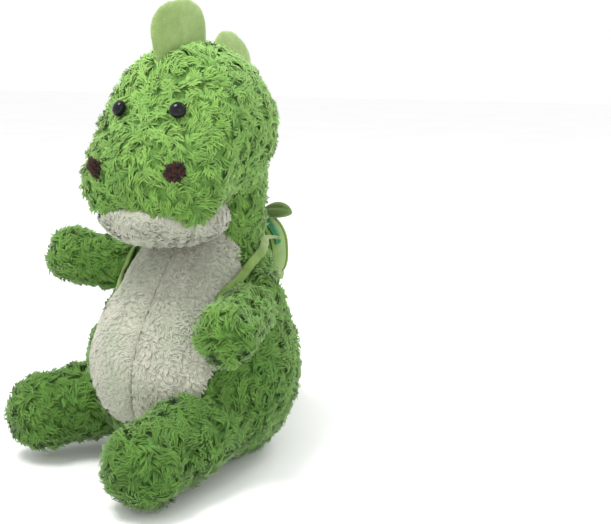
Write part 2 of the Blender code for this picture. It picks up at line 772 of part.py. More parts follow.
def build_eye(looks, side, place, skin, filling):
    """A safety eye: glossy dome with a shank through the skin, and its lock washer inside."""
    outwards = (place - HEAD_CORE).normalized()
    turn = outwards.to_track_quat("Z", "Y").to_matrix().to_4x4()
    shank = 0.0022
    bm = turned(place - outwards * 0.011, outwards, (
        (0.0, 0.0), (0.0, shank), (0.0120, shank), (0.0120, EYE_RADIUS), (0.0145, EYE_RADIUS * 0.93),
        (0.0168, EYE_RADIUS * 0.70), (0.0180, EYE_RADIUS * 0.38), (0.0184, 0.0)), 16)
    new_object(f"eye_{side}", bm, looks["eye"])
    hole = as_cutter(new_object(f"cut_eye_{side}", rod(
        place - outwards * 0.0125, place + outwards * 0.02, shank + GAP, 12)))
    seat = as_cutter(new_object(f"cut_eye_seat_{side}", rod(
        place + outwards * 0.0005, place + outwards * 0.02, EYE_RADIUS + GAP, 16)))
    pocket = as_cutter(new_object(f"cut_washer_{side}", rod(
        place - outwards * 0.0125, place + outwards * 0.02, EYE_RADIUS + 2 * GAP, 16)))
    boolean(skin, hole)
    boolean(skin, seat)
    boolean(filling, pocket)
    bm = bmesh.new()
    rings = []
    for distance, radius in ((-0.0090, shank + GAP), (-0.0090, 0.0072), (-0.0074, 0.0072), (-0.0074, shank + GAP)):
        ring = []
        for i in range(16):
            angle = 2 * pi * i / 16
            offset = turn.to_3x3() @ Vector((radius * cos(angle), radius * sin(angle), distance))
            ring.append(bm.verts.new(place + offset))
        rings.append(ring)
    bridge(bm, [*rings, rings[0]])
    new_object(f"eye_washer_{side}", bm, looks["washer"])


def build_limbs(looks):
    """Both arms, both legs and the tail; returns the cutters of their sockets and sweeps."""
    cutters = []
    for side in ("left", "right"):
        root, tip = SHOULDERS[side], ARM_TIPS[side]
        _, _, grown = make_limb(f"arm_{side}", root, tip, SHOULDER_RADIUS, ARM_WAIST, HAND_RADIUS,
                                looks["pile"], looks["filling"])
        tilt = -45.0 if side == "left" else 0.0
        cutters += sweep_cutters(f"arm_{side}", root, tip - root, grown, limb_axis(root, tip, tilt), ARM_SWEEP[side])
        root, tip = HIPS[side], FEET[side]
        _, _, grown = make_limb(f"leg_{side}", root, tip, HIP_RADIUS, LEG_WAIST, FOOT_RADIUS[side],
                                looks["pile"], looks["filling"])
        tilt = -40.0 if side == "left" else 40.0
        axis = limb_axis(root, tip, tilt)
        cutters += sweep_cutters(f"leg_{side}", root, tip - root, grown, axis,
                                 (0.0, LEG_LIFT / 2, LEG_LIFT))
    skin, filling, grown = make_limb("tail", TAIL_ROOT, TAIL_TIP, TAIL_RADIUS, TAIL_WAIST, TAIL_END,
                                     looks["pile"], looks["filling"])
    axis = limb_axis(TAIL_ROOT, TAIL_TIP, 0.0)
    cutters += sweep_cutters("tail", TAIL_ROOT, TAIL_TIP - TAIL_ROOT, grown, axis,
                             (0.0, TAIL_LIFT))
    return cutters


def build():
    clear_scene()
    looks = finishes()
    cutters = build_limbs(looks)
    build_torso(looks, cutters)
    head_outside = build_head(looks)
    profile = limb_profile(TAIL_RADIUS + GAP, (TAIL_TIP - TAIL_ROOT).length + TAIL_END + GAP,
                           TAIL_WAIST + GAP, TAIL_END + GAP)
    tail_outside = as_cutter(new_object("cut_tail_outside", turned(
        TAIL_ROOT, TAIL_TIP - TAIL_ROOT, profile, 16)))
    for name, (base, direction, height, width, twist) in SPIKES.items():
        spike = petal(name, base, direction, height, width, twist, looks["spike"])
        boolean(spike, head_outside if name.startswith("head") else tail_outside)
    build_bag(looks)
    for side in ("left", "right"):
        build_strap(f"strap_{side}", side, looks["olive"])


build()
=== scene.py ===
from math import cos, pi, radians, sin, sqrt

import bpy
import numpy as np
from mathutils import Matrix, Vector


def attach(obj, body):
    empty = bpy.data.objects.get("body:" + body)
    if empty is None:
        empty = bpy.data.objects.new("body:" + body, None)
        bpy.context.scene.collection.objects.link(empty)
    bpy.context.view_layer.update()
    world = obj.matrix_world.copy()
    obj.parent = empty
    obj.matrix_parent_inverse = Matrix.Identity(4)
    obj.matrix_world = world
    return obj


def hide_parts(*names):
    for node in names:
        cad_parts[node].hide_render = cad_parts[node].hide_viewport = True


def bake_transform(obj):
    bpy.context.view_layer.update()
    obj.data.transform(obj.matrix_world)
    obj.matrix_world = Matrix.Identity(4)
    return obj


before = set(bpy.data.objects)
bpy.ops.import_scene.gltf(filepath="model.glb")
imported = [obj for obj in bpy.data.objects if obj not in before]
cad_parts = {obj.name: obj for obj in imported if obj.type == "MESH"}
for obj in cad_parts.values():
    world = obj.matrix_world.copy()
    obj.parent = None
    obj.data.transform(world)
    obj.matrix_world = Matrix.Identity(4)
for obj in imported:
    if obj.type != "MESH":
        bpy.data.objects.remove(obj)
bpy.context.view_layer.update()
RNG = np.random.default_rng(20417)

# ---------------------------------------------------------------- the forms under the pile

PILE = 0.0100          # how far the woven backing lies inside the tips of the pile
HEAD_PILE = 0.0075
ROOT_DEPTH = 0.0012    # how deep a lock starts below the backing's surface
LOWEST = 0.0006        # no lock reaches lower than this above the floor
LOCK_ROWS = 4          # rows of a lock from root to tip; each but the tip has three corners
LOCK_FULLNESS = 0.7    # a lock's thickness as a share of its half width
GATHER = 0.48          # how far a lock's tip moves to the middle of its tuft
NECK = np.array((0.0, 0.029, 0.264))

TORSO_RINGS = np.array((  # height, centre Y, half width, half depth
    (0.000, 0.004, 0.062, 0.060), (0.010, 0.004, 0.082, 0.080), (0.038, 0.001, 0.105, 0.103),
    (0.075, -0.003, 0.120, 0.119), (0.112, -0.004, 0.122, 0.120), (0.150, 0.000, 0.110, 0.109),
    (0.188, 0.010, 0.090, 0.091), (0.222, 0.022, 0.0740, 0.0740), (0.241, 0.027, 0.0630, 0.0625),
    (0.253, 0.029, 0.0580, 0.0580), (0.262, 0.029, 0.0588, 0.0588), (0.285, 0.029, 0.0550, 0.0550),
    (0.305, 0.029, 0.0400, 0.0400), (0.318, 0.029, 0.0120, 0.0120)))
NECK_RINGS = np.array((  # the fur collar between the chest and the head, in the same form
    (0.226, 0.024, 0.0600, 0.0600), (0.240, 0.028, 0.0645, 0.0650), (0.256, 0.030, 0.0665, 0.0690),
    (0.274, 0.031, 0.0670, 0.0700), (0.296, 0.032, 0.0675, 0.0700), (0.320, 0.032, 0.0660, 0.0660),
    (0.334, 0.031, 0.0560, 0.0560), (0.340, 0.030, 0.0400, 0.0400)))
HEAD_RINGS = np.array((  # Y, centre height, half width, half height
    (0.101, 0.360, 0.002, 0.002), (0.095, 0.360, 0.039, 0.038), (0.076, 0.360, 0.065, 0.065),
    (0.046, 0.360, 0.082, 0.086), (0.014, 0.3585, 0.087, 0.0955), (-0.014, 0.3565, 0.088, 0.0955),
    (-0.036, 0.353, 0.088, 0.0930), (-0.054, 0.341, 0.0875, 0.0880), (-0.070, 0.3245, 0.087, 0.0760),
    (-0.084, 0.3120, 0.086, 0.0685), (-0.098, 0.3060, 0.078, 0.0615), (-0.108, 0.306, 0.057, 0.0460),
    (-0.1135, 0.308, 0.037, 0.029), (-0.119, 0.308, 0.002, 0.002)))
HEAD_CORE = np.array((0.0, -0.016, 0.348))
LIMBS = {  # root, tip, root radius, waist, end radius
    "arm_left": ((0.076, 0.006, 0.178), (0.101, -0.095, 0.1625), 0.035, 0.034, 0.036),
    "arm_right": ((-0.074, 0.003, 0.195), (-0.138, -0.036, 0.213), 0.035, 0.034, 0.036),
    "leg_left": ((0.066, -0.032, 0.064), (0.057, -0.176, 0.0465), 0.053, 0.048, 0.0465),
    "leg_right": ((-0.066, -0.032, 0.064), (-0.127, -0.108, 0.0515), 0.053, 0.048, 0.0465),
    "tail": ((0.000, 0.082, 0.072), (-0.040, 0.250, 0.028), 0.058, 0.047, 0.026)}
SPIKES = {  # base, direction, height, width, twist
    "head_spike_front": ((0.0, -0.016, 0.440), (0.0, -0.20, 1.0), 0.056, 0.082, -10.0),
    "head_spike_middle": ((0.0, 0.070, 0.413), (0.0, 0.72, 1.0), 0.054, 0.070, -8.0),
    "head_spike_rear": ((0.0, 0.094, 0.350), (0.0, 1.0, 0.10), 0.036, 0.068, 0.0),
    "tail_spike_upper": ((-0.014, 0.152, 0.096), (-0.05, 0.15, 1.0), 0.034, 0.038, 0.0),
    "tail_spike_lower": ((-0.024, 0.196, 0.072), (-0.10, 0.20, 1.0), 0.036, 0.042, 0.0)}
STRAP_ROUTE = (  # the left strap, and how deep it sinks into the pile
    (0.0425, 0.1110, 0.224, 0.0), (0.044, 0.095, 0.228, 0.0), (0.048, 0.078, 0.231, 0.004),
    (0.054, 0.062, 0.233, 0.007), (0.066, 0.040, 0.232, 0.006), (0.0765, 0.018, 0.228, 0.003),
    (0.0770, -0.008, 0.217, 0.0045), (0.074, -0.028, 0.203, 0.0045), (0.066, -0.048, 0.190, 0.006),
    (0.062, -0.058, 0.172, 0.009), (0.072, -0.056, 0.151, 0.010), (0.086, -0.036, 0.137, 0.010),
    (0.096, -0.006, 0.137, 0.010), (0.096, 0.018, 0.150, 0.010), (0.088, 0.032, 0.170, 0.006),
    (0.083, 0.034, 0.188, 0.006), (0.068, 0.066, 0.188, 0.004), (0.050, 0.095, 0.184, 0.0),
    (0.0450, 0.1165, 0.180, 0.0))
STRAP_SHOWN = (  # places of the strap with shorter pile beside them
    (0.0775, 0.018, 0.228), (0.0775, 0.005, 0.223), (0.0770, -0.008, 0.217), (0.0755, -0.018, 0.210),
    (0.074, -0.028, 0.203), (0.084, 0.034, 0.186), (0.086, 0.033, 0.178), (0.088, 0.032, 0.170))
EYES = ((0.036, 0.383), (-0.036, 0.383))  # X and height
NOSTRILS = ((0.052, 0.323), (-0.052, 0.323))
JAW = (np.array((0.0, -0.055, 0.270)), np.array((0.073, 0.062, 0.032)))  # centre and radii
BELLY_MIDDLE, BELLY_REACH = 0.160, 0.106


def turns(count):
    """Angles evenly round a circle."""
    return np.linspace(0, 2 * pi, count + 1)[:-1]


def smooth_rows(rows, count):
    """Catmull-Rom through the rows, evenly in their own order."""
    rows = np.asarray(rows, float)
    padded = np.vstack([2 * rows[0] - rows[1], rows, 2 * rows[-1] - rows[-2]])
    place = np.linspace(0, len(rows) - 1, count)
    k = np.minimum(place.astype(int), len(rows) - 2)
    t = (place - k)[:, None]
    a, b, c, d = padded[k], padded[k + 1], padded[k + 2], padded[k + 3]
    square, cube = 2 * a - 5 * b + 4 * c - d, 3 * b - a - 3 * c + d
    return 0.5 * (2 * b + (c - a) * t + square * t ** 2 + cube * t ** 3)


def ring_at(rows, level):
    """Centre, half width and half height (or depth) of a ringed form at a level."""
    order = rows[:, 0].argsort()
    return [np.interp(level, rows[order, 0], rows[order, k]) for k in (1, 2, 3)]


def limb_rows(spec, inset=0.0):
    """Distance along a limb and its radius there."""
    _, _, ball, waist, end = spec
    length = limb_length(spec)
    rows = [(-(ball - inset), 0.001)]
    for turn in (-70, -55, -25, 5, 32):
        rows.append(((ball - inset) * sin(radians(turn)), (ball - inset) * cos(radians(turn))))
    rows.append((max(0.55 * (length - end), ball * 0.75), waist - inset))
    for turn in (-22, 10, 42, 68, 80):
        rows.append((length - end + (end - inset) * sin(radians(turn)), (end - inset) * cos(radians(turn))))
    rows.append((length - inset, 0.001))
    return np.array(rows)


def limb_length(spec):
    return float(np.linalg.norm(np.subtract(spec[1], spec[0]))) + spec[4]


def limb_frame(spec):
    axis = np.subtract(spec[1], spec[0])
    axis = axis / np.linalg.norm(axis)
    side = np.cross(axis, (0, 0, 1.0))
    side /= np.linalg.norm(side)
    return np.array(spec[0]), axis, side, np.cross(side, axis)


def limb_gap(points, spec):
    """Signed distance from a limb's outside, roughly; inside is negative."""
    start, axis, _, _ = limb_frame(spec)
    rows = limb_rows(spec)
    along = (points - start) @ axis
    off = np.linalg.norm(points - start - along[:, None] * axis, axis=1)
    radius = np.interp(along, rows[:, 0], rows[:, 1], left=0, right=0)
    beyond = np.maximum(rows[0, 0] - along, along - rows[-1, 0])
    return np.where(beyond > 0, np.hypot(beyond, off), off - radius)


def loft_gap(points, rows, level_axis):
    """Signed distance from the torso (level_axis 2) or the head (1), roughly."""
    level = points[:, level_axis]
    centre, wide, tall = ring_at(rows, level)
    other = points[:, 1 if level_axis == 2 else 2] - centre
    scale = np.hypot(points[:, 0] / wide, other / tall)
    gap = (scale - 1) * np.minimum(wide, tall)
    beyond = np.maximum(rows[:, 0].min() - level, level - rows[:, 0].max())
    return np.where(beyond > 0, np.maximum(gap, beyond), gap)


def torso_gap(points):
    return loft_gap(points, TORSO_RINGS, 2)


def head_gap(points):
    return loft_gap(points, HEAD_RINGS, 1)


# ---------------------------------------------------------------- meshes


def placed(name, data):
    obj = bpy.data.objects.new(name, data)
    bpy.context.scene.collection.objects.link(obj)
    return obj


def make_object(name, verts, faces, look, smooth=True):
    data = bpy.data.meshes.new(name)
    data.from_pydata([tuple(v) for v in verts], [], [tuple(f) for f in faces])
    data.update()
    if smooth:
        data.polygons.foreach_set("use_smooth", [True] * len(data.polygons))
    data.materials.append(look)
    return placed(name, data)


def dress(obj, body, nodes=()):
    """Tells the frame what the piece rides on, and hides the nodes it stands for."""
    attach(obj, body)
    if nodes:
        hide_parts(*nodes)
    return obj


def ring_faces(count, segments, closed=False):
    """Quads between neighbouring rings; closed joins the last ring to the first."""
    faces = []
    for k in range(count if closed else count - 1):
        m = (k + 1) % count
        for i in range(segments):
            j = (i + 1) % segments
            faces.append((k * segments + i, k * segments + j, m * segments + j, m * segments + i))
    return faces


def tube(rings):
    """Closed surface from rings of shape (count, segments, 3); the ends close on their middles."""
    count, segments, _ = rings.shape
    verts = np.vstack([rings.reshape(-1, 3), rings[0].mean(0), rings[-1].mean(0)])
    faces = ring_faces(count, segments)
    first, last = count * segments, count * segments + 1
    for i in range(segments):
        j = (i + 1) % segments
        faces.append((first, j, i))
        faces.append((last, (count - 1) * segments + i, (count - 1) * segments + j))
    middle = verts.mean(0)
    corners = np.array([verts[list(f[:3])] for f in faces]) - middle
    volume = np.einsum("ij,ij->i", np.cross(corners[:, 0], corners[:, 1]), corners[:, 2]).sum()
    if volume < 0:
        faces = [f[::-1] for f in faces]
    return verts, faces


def torso_form(inset, rows=TORSO_RINGS):
    rows = smooth_rows(rows, 70)
    turn = turns(96)
    rings = np.empty((len(rows), 96, 3))
    rings[:, :, 0] = np.maximum(rows[:, 2, None] - inset, 0.001) * np.cos(turn)
    rings[:, :, 1] = rows[:, 1, None] + np.maximum(rows[:, 3, None] - inset, 0.001) * np.sin(turn)
    rings[:, :, 2] = np.maximum(rows[:, 0, None], 0.4 * inset)
    return tube(rings)


def head_form(inset):
    rows = smooth_rows(HEAD_RINGS, 70)
    turn = turns(96)
    rings = np.empty((len(rows), 96, 3))
    shrink = 1 - inset / 0.11
    rings[:, :, 0] = np.maximum(rows[:, 2, None] - inset, 0.001) * np.cos(turn)
    rings[:, :, 1] = rows[:, 0, None] * shrink
    rings[:, :, 2] = rows[:, 1, None] + np.maximum(rows[:, 3, None] - inset, 0.001) * np.sin(turn)
    return tube(rings)


def limb_form(spec, inset):
    start, axis, side, up = limb_frame(spec)
    rows = smooth_rows(limb_rows(spec, inset), 48)
    turn = turns(64)
    radius = np.maximum(rows[:, 1], 0.001)[:, None, None]
    around = np.cos(turn)[None, :, None] * side + np.sin(turn)[None, :, None] * up
    return tube(start + rows[:, 0][:, None, None] * axis + radius * around)


def triangles_of(verts, faces):
    tris = []
    for f in faces:
        for k in range(1, len(f) - 1):
            tris.append((f[0], f[k], f[k + 1]))
    return np.asarray(verts, float), np.array(tris)


def scatter(verts, faces, spacing):
    """Points spread over a surface about spacing apart, with the surface's smooth normals."""
    verts, tris = triangles_of(verts, faces)
    a, b, c = (verts[tris[:, k]] for k in range(3))
    cross = np.cross(b - a, c - a)
    area = 0.5 * np.linalg.norm(cross, axis=1)
    normals = np.zeros_like(verts)
    for k in range(3):
        np.add.at(normals, tris[:, k], cross)
    normals /= np.maximum(np.linalg.norm(normals, axis=1, keepdims=True), 1e-12)
    count = int(area.sum() / spacing ** 2 * 5)
    pick = RNG.choice(len(tris), count, p=area / area.sum())
    u, v = RNG.random(count), RNG.random(count)
    flip = u + v > 1
    u[flip], v[flip] = 1 - u[flip], 1 - v[flip]
    w = 1 - u - v
    at = a[pick] * w[:, None] + b[pick] * u[:, None] + c[pick] * v[:, None]
    n = (normals[tris[pick, 0]] * w[:, None] + normals[tris[pick, 1]] * u[:, None]
         + normals[tris[pick, 2]] * v[:, None])
    n /= np.linalg.norm(n, axis=1, keepdims=True)
    cells = np.floor(at / spacing + RNG.random(3)).astype(np.int64)
    key = cells @ np.array((73856093, 19349663, 83492791))
    _, first = np.unique(key, return_index=True)
    return at[first], n[first]


def nearest(points, centres):
    """Index of the nearest centre to each point."""
    best = np.empty(len(points), int)
    for k in range(0, len(points), 2000):
        part = points[k:k + 2000]
        gap = ((part[:, None, :] - centres[None, :, :]) ** 2).sum(2)
        best[k:k + 2000] = gap.argmin(1)
    return best


def unit(v):
    return v / np.maximum(np.linalg.norm(v, axis=-1, keepdims=True), 1e-9)


def flat(v, n):
    return v - (v * n).sum(1, keepdims=True) * n


# ---------------------------------------------------------------- pile locks


def write_locks(name, centre, side, width, look, body, ids, ground):
    """Closed tapered locks: centre (N, R, 3) line, side (N, R, 3) unit, width (N, R), last row the tip.
    Each lock has its own cell of the UV map, and carries its place along the lock and two random numbers.
    The normals follow ground, the backing's own, so the pile shades as one surface. Body None: the locks
    ride on no body."""
    count, rows, _ = centre.shape
    along = np.gradient(centre, axis=1)
    up = unit(np.cross(unit(along), side))
    body_rows = rows - 1
    half = 0.5 * width[:, :body_rows, None]
    mid, sd, hi = centre[:, :body_rows], side[:, :body_rows], up[:, :body_rows]
    low = mid - hi * half * LOCK_FULLNESS * 0.4
    verts = np.empty((count, body_rows * 3 + 1, 3))
    verts[:, 0:body_rows * 3:3] = low - sd * half
    verts[:, 1:body_rows * 3:3] = low + sd * half
    verts[:, 2:body_rows * 3:3] = mid + hi * half * LOCK_FULLNESS
    verts[:, -1] = centre[:, -1]
    verts[:, :, 2] = np.maximum(verts[:, :, 2], LOWEST)
    tip = body_rows * 3
    faces, marks = [], []
    for k in range(body_rows - 1):
        for p in range(3):
            q = (p + 1) % 3
            faces.append((3 * k + p, 3 * k + q, 3 * k + 3 + q, 3 * k + 3 + p))
            marks.append(((p, k), (p + 1, k), (p + 1, k + 1), (p, k + 1)))
    for p in range(3):
        faces.append((tip - 3 + p, tip - 3 + (p + 1) % 3, tip))
        marks.append(((p, body_rows - 1), (p + 1, body_rows - 1), (p + 0.5, rows - 1)))
    faces.append((0, 2, 1))
    marks.append(((0, 0), (0.2, 0), (0.2, 0.05)))
    loops = np.array([i for f in faces for i in f])
    totals = np.array([len(f) for f in faces])
    uv_local = np.array([m for f in marks for m in f], float)
    uv_local[:, 0] = 0.08 + 0.84 * uv_local[:, 0] / 3
    uv_local[:, 1] = 0.06 + 0.88 * uv_local[:, 1] / (rows - 1)
    grid = int(np.ceil(sqrt(count)))
    cell = np.stack([np.arange(count) % grid, np.arange(count) // grid], 1)
    uv = (uv_local[None] + cell[:, None, :]) / grid
    stride = verts.shape[1]
    all_loops = (loops[None] + stride * np.arange(count)[:, None]).ravel()
    all_totals = np.tile(totals, count)
    starts = np.concatenate([[0], np.cumsum(all_totals)[:-1]])
    data = bpy.data.meshes.new(name)
    data.vertices.add(count * stride)
    data.vertices.foreach_set("co", verts.ravel().astype(np.float32))
    data.loops.add(len(all_loops))
    data.loops.foreach_set("vertex_index", all_loops.astype(np.int32))
    data.polygons.add(len(all_totals))
    data.polygons.foreach_set("loop_start", starts.astype(np.int32))
    data.polygons.foreach_set("loop_total", all_totals.astype(np.int32))
    data.polygons.foreach_set("use_smooth", np.ones(len(all_totals), bool))
    layer = data.uv_layers.new(name="OFBake")
    layer.data.foreach_set("uv", uv.reshape(-1).astype(np.float32))
    level = np.empty((count, stride))
    for k in range(body_rows):
        level[:, 3 * k:3 * k + 3] = k / (rows - 1)
    level[:, -1] = 1.0
    for label, values in (("along", level), ("chance", np.repeat(ids[:, 0:1], stride, 1)),
                          ("tuft", np.repeat(ids[:, 1:2], stride, 1))):
        mark = data.attributes.new(label, "FLOAT", "POINT")
        mark.data.foreach_set("value", values.ravel().astype(np.float32))
    data.update()
    data.validate()
    shade = np.empty_like(verts)
    for k, blade in enumerate((-0.32 * sd - 0.1 * hi, 0.32 * sd - 0.1 * hi, 0.3 * hi)):
        shade[:, k:body_rows * 3:3] = ground[:, None, :] + blade
    shade[:, -1] = ground + 0.4 * up[:, -1]
    data.normals_split_custom_set_from_vertices(unit(shade).reshape(-1, 3).tolist())
    data.materials.append(look)
    obj = placed(name, data)
    if body is not None:
        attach(obj, body)
    return obj


def grow(name, verts, faces, body, look, slot, keep, spacing, width, length=0.0150, rise=0.0078,
         rosette=0.021, tuft=0.0068, comb=None, parts=1, swirl=1.0):
    """Pile over a surface. keep(points, normals) gives how long each lock stands, 0 for none.
    Locks lie in whorls: round each whorl's middle they turn away in a spiral, and they gather into tufts."""
    at, n = scatter(verts, faces, spacing)
    share = keep(at, n)
    at, n, share = at[share > 0.02], n[share > 0.02], share[share > 0.02]
    middles, _ = scatter(verts, faces, rosette)
    hand = np.where(RNG.random(len(middles)) < 0.5, -1.0, 1.0)
    lean = RNG.uniform(radians(25), radians(80), len(middles))
    guides, guide_n = scatter(verts, faces, tuft)
    whorl = nearest(guides, middles)
    away = flat(guides - middles[whorl], guide_n)
    reach = np.linalg.norm(away, axis=1)
    away = unit(away + RNG.normal(0, 0.0015, away.shape))
    turned = hand[whorl][:, None] * np.cross(guide_n, away)
    heading = np.cos(lean[whorl])[:, None] * away + np.sin(lean[whorl])[:, None] * turned
    heading = heading * swirl + RNG.normal(0, 0.42, heading.shape)
    if comb is not None:
        heading = heading + comb(guides, guide_n)
    heading = unit(flat(heading, guide_n))
    height = np.clip(0.45 + 0.75 * reach / (0.6 * rosette), 0.45, 1.15)
    height = height * RNG.uniform(0.75, 1.2, len(guides))
    curl = RNG.normal(0, 0.55, len(guides)) + 0.35 * hand[whorl]
    own = nearest(at, guides)
    count = len(at)
    direction = unit(flat(heading[own] + RNG.normal(0, 0.16, at.shape), n))
    across = np.cross(n, direction)
    long = length * share * RNG.uniform(0.72, 1.18, count)
    tall = rise * np.sqrt(share) * height[own] * RNG.uniform(0.8, 1.15, count)
    bend = curl[own] + RNG.normal(0, 0.22, count)
    gather = flat(guides[own] - at, n) * GATHER
    t = np.linspace(0, 1, LOCK_ROWS)[None, :, None]
    line = (at - ROOT_DEPTH * n)[:, None, :] + long[:, None, None] * (
        direction[:, None, :] * (t * (1 - 0.14 * bend[:, None, None] ** 2 * t))
        + across[:, None, :] * (0.5 * bend[:, None, None] * t ** 2))
    arch = RNG.uniform(0.0, 0.42, count)[:, None, None]
    lift = tall[:, None, None] * (1 - (1 - t) ** 2) * (1 - arch * t ** 2)
    line = line + n[:, None, :] * (lift + ROOT_DEPTH * t)
    line = line + gather[:, None, :] * t ** 1.4
    tangent = unit(np.gradient(line, axis=1))
    side = unit(np.cross(n[:, None, :], tangent))
    shape = np.interp(np.linspace(0, 1, LOCK_ROWS), (0, 0.3, 0.6, 0.85, 1.0), (0.75, 1.0, 0.9, 0.5, 0.0))
    wide = width * RNG.uniform(0.7, 1.25, count)[:, None] * shape[None, :]
    ids = np.stack([RNG.random(count), RNG.random(len(guides))[own]], 1)
    pieces = []
    for k, group in enumerate(np.array_split(np.argsort(at[:, 1]), parts)):
        label = name if parts == 1 else f"{name}_{k + 1}"
        pieces.append(write_locks(label, line[group], side[group], wide[group], look, body, ids[group],
                                  n[group]))
    return pieces


# ---------------------------------------------------------------- materials


def new_material(name, colour=(0.5, 0.5, 0.5, 1), roughness=0.8, metallic=0.0, sheen=0.0, sheen_tint=None):
    look = bpy.data.materials.new(name)
    look.use_nodes = True
    shader = look.node_tree.nodes["Principled BSDF"]
    shader.inputs["Base Color"].default_value = colour
    shader.inputs["Roughness"].default_value = roughness
    shader.inputs["Metallic"].default_value = metallic
    shader.inputs["Sheen Weight"].default_value = sheen
    shader.inputs["Sheen Roughness"].default_value = 0.5
    if sheen_tint:
        shader.inputs["Sheen Tint"].default_value = sheen_tint
    return look, look.node_tree, shader


def srgb(r, g, b):
    """Colour from 0-255 display values."""
    def one(c):
        c /= 255
        return c / 12.92 if c <= 0.04045 else ((c + 0.055) / 1.055) ** 2.4
    return (one(r), one(g), one(b), 1.0)


def add(tree, kind, **values):
    node = tree.nodes.new(kind)
    for key, value in values.items():
        if key in node.inputs:
            node.inputs[key].default_value = value
        else:
            setattr(node, key, value)
    return node


def ramp(tree, source, stops):
    node = tree.nodes.new("ShaderNodeValToRGB")
    while len(node.color_ramp.elements) < len(stops):
        node.color_ramp.elements.new(0.5)
    for element, (place, colour) in zip(node.color_ramp.elements, stops):
        element.position = place
        element.color = colour if len(colour) == 4 else (*colour, 1)
    tree.links.new(source, node.inputs["Fac"])
    return node.outputs["Color"]


def feed(tree, socket, value):
    """Links a socket to the input, or sets the input to a plain value."""
    if hasattr(value, "links"):
        tree.links.new(value, socket)
    else:
        socket.default_value = value


def mixed(tree, kind, amount, first, second):
    """RGB mix; amount, first and second are sockets or values."""
    node = tree.nodes.new("ShaderNodeMix")
    node.data_type = "RGBA"
    node.blend_type = kind
    for socket, value in ((node.inputs[0], amount), (node.inputs[6], first), (node.inputs[7], second)):
        feed(tree, socket, value)
    return node.outputs[2]


def grey(v):
    return (v, v, v, 1)


def varied(tree, colour, source, low, high, start=0.3, end=0.7):
    """The colour, darker and lighter by a factor that follows the source."""
    return mixed(tree, "MULTIPLY", 1.0, colour, ramp(tree, source, ((start, grey(low)), (end, grey(high)))))


def between(tree, source, start, end, first, second):
    """The first colour where the source is low, the second where it is high."""
    return mixed(tree, "MIX", ramp(tree, source, ((start, grey(0)), (end, grey(1)))), first, second)


def maths(tree, operation, a, b):
    node = tree.nodes.new("ShaderNodeMath")
    node.operation = operation
    feed(tree, node.inputs[0], a)
    feed(tree, node.inputs[1], b)
    return node.outputs[0]


def noise(tree, scale, detail=2.0, roughness=0.5, vector=None):
    node = add(tree, "ShaderNodeTexNoise", Scale=scale, Detail=detail, Roughness=roughness)
    if vector is None:
        vector = add(tree, "ShaderNodeTexCoord").outputs["Object"]
    tree.links.new(vector, node.inputs["Vector"])
    return node.outputs["Fac"]


def bump(tree, shader, height, strength, distance):
    node = add(tree, "ShaderNodeBump", Strength=strength, Distance=distance)
    tree.links.new(height, node.inputs["Height"])
    tree.links.new(node.outputs["Normal"], shader.inputs["Normal"])


def pile_look(name, deep, low, mid, tip, sheen=0.25, tint=(0.75, 1.0, 0.55, 1), spread=0.3,
              by_height=((0.0, grey(1.0)), (1.0, grey(1.0)))):
    """Fabric pile: painted shade at the root, painted light at the tip; tufts and locks differ a little;
    finely streaked.
    by_height is a factor over the height above the floor, for painted shade low down and painted light high
    up; its place 1 is at 0.5 m."""
    look, tree, shader = new_material(name, mid, 0.86, sheen=sheen, sheen_tint=tint)
    along = add(tree, "ShaderNodeAttribute", attribute_name="along").outputs["Fac"]
    chance = add(tree, "ShaderNodeAttribute", attribute_name="chance").outputs["Fac"]
    tuft = add(tree, "ShaderNodeAttribute", attribute_name="tuft").outputs["Fac"]
    # painted shade at the roots of the locks, painted light at their tips
    colour = ramp(tree, along, ((0.0, deep), (0.28, low), (0.62, mid), (0.95, tip)))
    uv = add(tree, "ShaderNodeUVMap", uv_map="OFBake").outputs["UV"]
    stretch = add(tree, "ShaderNodeVectorMath", operation="MULTIPLY")
    stretch.inputs[1].default_value = (620.0, 90.0, 1.0)
    tree.links.new(uv, stretch.inputs[0])
    streak = noise(tree, 1.0, 1.0, 0.5, stretch.outputs[0])
    colour = varied(tree, colour, streak, 0.84, 1.14)
    colour = varied(tree, colour, chance, 0.92, 1.08, 0.0, 1.0)
    colour = mixed(tree, "MULTIPLY", 1.0, colour,
                   ramp(tree, tuft, ((0.0, grey(1 - spread)), (0.5, grey(1.0)), (1.0, grey(1 + spread)))))
    patches = noise(tree, 22.0, 2.0)
    colour = mixed(tree, "MULTIPLY", 1.0, colour,
                   ramp(tree, patches, ((0.3, (0.84, 0.90, 0.84, 1)), (0.7, (1.12, 1.06, 1.10, 1)))))
    place = add(tree, "ShaderNodeSeparateXYZ")
    tree.links.new(add(tree, "ShaderNodeTexCoord").outputs["Object"], place.inputs[0])
    height = maths(tree, "MULTIPLY", place.outputs[2], 2.0)
    # painted shade low down and painted light high up, by height above the floor
    colour = mixed(tree, "MULTIPLY", 1.0, colour, ramp(tree, height, by_height))
    tree.links.new(colour, shader.inputs["Base Color"])
    return look


def backing_look():
    """The knitted ground between the tufts, coloured as dark as the pile's roots: painted shade between the
    tufts.
    """
    look, tree, shader = new_material("green_backing", srgb(86, 130, 52), 0.95, sheen=0.1)
    # the darker green is painted shade where the ground shows between the tufts
    fine = noise(tree, 420.0, 2.0)
    broad = noise(tree, 60.0, 2.0)
    colour = between(tree, broad, 0.35, 0.65, srgb(84, 126, 50), srgb(104, 148, 66))
    colour = varied(tree, colour, fine, 0.7, 1.2)
    tree.links.new(colour, shader.inputs["Base Color"])
    bump(tree, shader, fine, 0.6, 0.0015)
    return look


